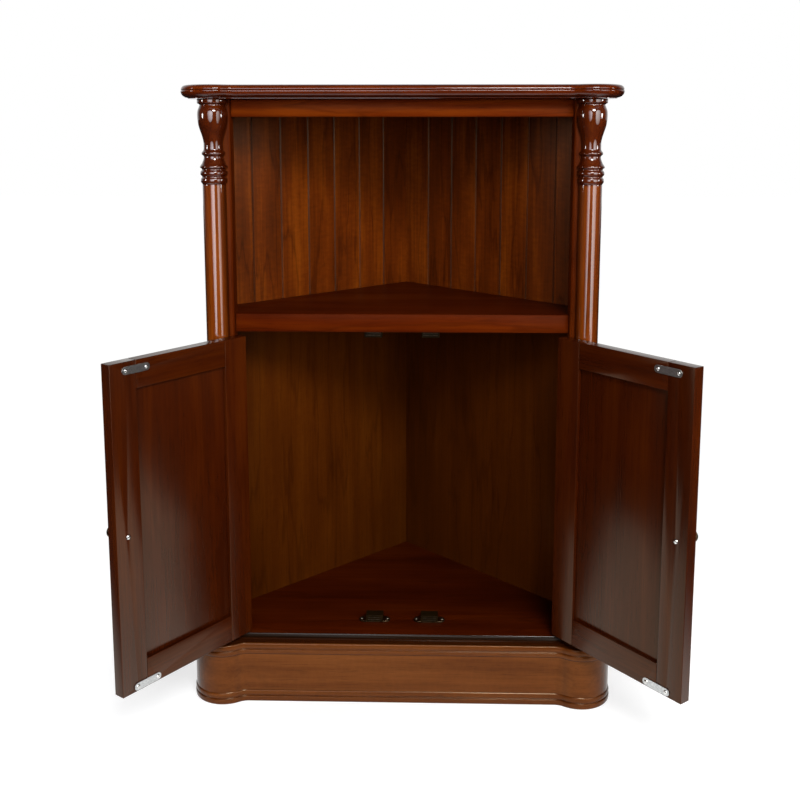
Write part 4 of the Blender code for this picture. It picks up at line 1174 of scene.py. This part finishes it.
# %% [markdown]
# ## Hinges
#
# The hinges' leaves, knuckles and pins are already true in the solids, and only their edges and
# corners show in the gap beside an open door. They keep their solids and get the bronze. The one
# screw head that the screws were copied from has done its work and goes.

# %% Hinge finish
for name, solid in frame["nodes"].items():
    if "hinge_case_leaf" in name or "hinge_door_leaf" in name or name.endswith("_pin"):
        solid.data.materials.clear()
        solid.data.materials.append(BRONZE)
bpy.data.objects.remove(HEAD, do_unlink=True)

# %% [markdown]
# ## Floor, room and light
#
# The lacquer tells how the photograph was lit. The lower doors and the plinth mirror something
# white, the upper doors mirror nothing, and the columns show a few bright lamps. So the cabinet
# stood on a white sheet that ended close in front of it, in a dim room, with a white ground
# behind. The floor is one plane that is white near the cabinet and dark away from it, and to
# the camera alone it glows white all over, less so near the plinth, where the shadow lies.

# %% Floor
FLOOR_HALF = 14.0
FRONT_STRETCH = 1.6
# where a change starts and ends, in metres from the middle, and the value at each end
CAMERA_GLOW = (0.42, 0.75, 0.60, 1.0)
MIRRORED_GLOW = (0.75, 1.1, 0.85, 0.0)
SHEET_WHITE = (0.5, 0.9, 0.55, 0.05)


def mirrored_or_through(tree, rays):
    """One where the ray was mirrored or let through by a surface, and else zero."""
    either = add_node(tree, "ShaderNodeMath", operation="MAXIMUM")
    wire(tree, (rays, "Is Glossy Ray", either, 0),
         (rays, "Is Transmission Ray", either, 1))
    return either


ground = bpy.data.materials.new("pale_floor")
ground.use_nodes = True
tree = ground.node_tree
matte = tree.nodes["Principled BSDF"]
matte.inputs["Roughness"].default_value = 0.9
matte.inputs["Specular IOR Level"].default_value = 0.0
matte.inputs["Emission Color"].default_value = (1.0, 1.0, 1.0, 1.0)
spot = add_node(tree, "ShaderNodeTexCoord")
away = add_node(tree, "ShaderNodeVectorMath", operation="LENGTH")
wire(tree, (spot, "Object", away, 0))
longer = add_node(tree, "ShaderNodeVectorMath", operation="MULTIPLY")
wire(tree, (spot, "Object", longer, 0))
longer.inputs[1].default_value = (1.0, FRONT_STRETCH, 1.0)
oval = add_node(tree, "ShaderNodeVectorMath", operation="LENGTH")
wire(tree, (longer, "Vector", oval, 0))
rays = add_node(tree, "ShaderNodeLightPath")
to_camera = add_node(tree, "ShaderNodeMath", operation="MULTIPLY")
wire(tree, (rays, "Is Camera Ray", to_camera, 0),
     (fade(tree, away, "Value", *CAMERA_GLOW), "Result", to_camera, 1))
to_gloss = add_node(tree, "ShaderNodeMath", operation="MULTIPLY")
wire(tree, (mirrored_or_through(tree, rays), "Value", to_gloss, 0),
     (fade(tree, oval, "Value", *MIRRORED_GLOW), "Result", to_gloss, 1))
glow = add_node(tree, "ShaderNodeMath", operation="ADD")
wire(tree, (to_camera, "Value", glow, 0),
     (to_gloss, "Value", glow, 1),
     (glow, "Value", matte, "Emission Strength"))
shade = add_node(tree, "ShaderNodeCombineColor")
for channel in ("Red", "Green", "Blue"):
    wire(tree, (fade(tree, away, "Value", *SHEET_WHITE), "Result", shade, channel))
wire(tree, (shade, "Color", matte, "Base Color"))
work = bmesh.new()
bmesh.ops.create_grid(work, x_segments=1, y_segments=1, size=FLOOR_HALF)
floor = object_of("floor", mesh_of("floor", work), ground)
print("floor:", FLOOR_HALF * 2, "m wide")

# %% Room
# how far a direction points back, where a change starts and ends, and the light at each end
ROOM_LIGHT = (0.1, 0.9, 0.06, 0.7)
MIRRORED_ROOM = (0.2, 0.6, 0.04, 1.0)

room = bpy.data.worlds.new("room")
bpy.context.scene.world = room
room.use_nodes = True
tree = room.node_tree
sky = tree.nodes["Background"]
sky.inputs["Color"].default_value = (1.0, 1.0, 1.0, 1.0)
rays = add_node(tree, "ShaderNodeLightPath")
way = add_node(tree, "ShaderNodeTexCoord")
parts = add_node(tree, "ShaderNodeSeparateXYZ")
wire(tree, (way, "Generated", parts, "Vector"))
lit = fade(tree, parts, "Y", *ROOM_LIGHT)
mirrored_room = fade(tree, parts, "Y", *MIRRORED_ROOM)
glossy = add_node(tree, "ShaderNodeMix")
wire(tree, (mirrored_or_through(tree, rays), "Value", glossy, "Factor"),
     (lit, "Result", glossy, "A"),
     (mirrored_room, "Result", glossy, "B"))
white = add_node(tree, "ShaderNodeMix", {"B": 1.0})
wire(tree, (rays, "Is Camera Ray", white, "Factor"),
     (glossy, "Result", white, "A"),
     (white, "Result", sky, "Strength"))

# %% Soft boxes
def soft_box(name, place, aim, width, height, power, spread, colour):
    """An oval area lamp, turned towards what it points at."""
    light = bpy.data.lights.new(name, "AREA")
    light.shape = "ELLIPSE"
    light.size, light.size_y, light.energy = width, height, power
    light.spread = math.radians(spread)
    light.color = colour
    lamp = bpy.data.objects.new(name, light)
    lamp.location = place
    lamp.rotation_euler = (Vector(aim) - Vector(place)).to_track_quat("-Z", "Y").to_euler()
    collection.objects.link(lamp)


# name, place, what it points at, width, height, watts, spread in degrees, colour
COOL, WHITE = (0.93, 0.93, 1.0), (1.0, 1.0, 1.0)
SOFT_BOXES = (
    ("left_soft_box", (-0.62, -2.0, 1.15), (-0.62, 0.0, 0.8), 1.4, 1.5, 6.5, 70, COOL),
    ("right_soft_box", (1.32, -1.25, 1.0), (0.75, 0.0, 0.7), 1.1, 1.5, 7.0, 90, WHITE),
    ("key_soft_box", (0.6, -2.3, 2.2), (0.0, 0.0, 0.6), 1.1, 0.8, 68.0, 180, WHITE),
    ("left_side_lamp", (-1.5, -0.45, 1.02), (0.0, -0.1, 0.95), 0.24, 0.24, 3.5, 180, WHITE),
    ("right_side_lamp", (1.5, -0.45, 1.02), (0.0, -0.1, 0.95), 0.24, 0.24, 3.5, 180, WHITE),
)
for lamp_values in SOFT_BOXES:
    soft_box(*lamp_values)
bpy.context.scene.view_settings.view_transform = "Standard"
print("lamps:", len(SOFT_BOXES))
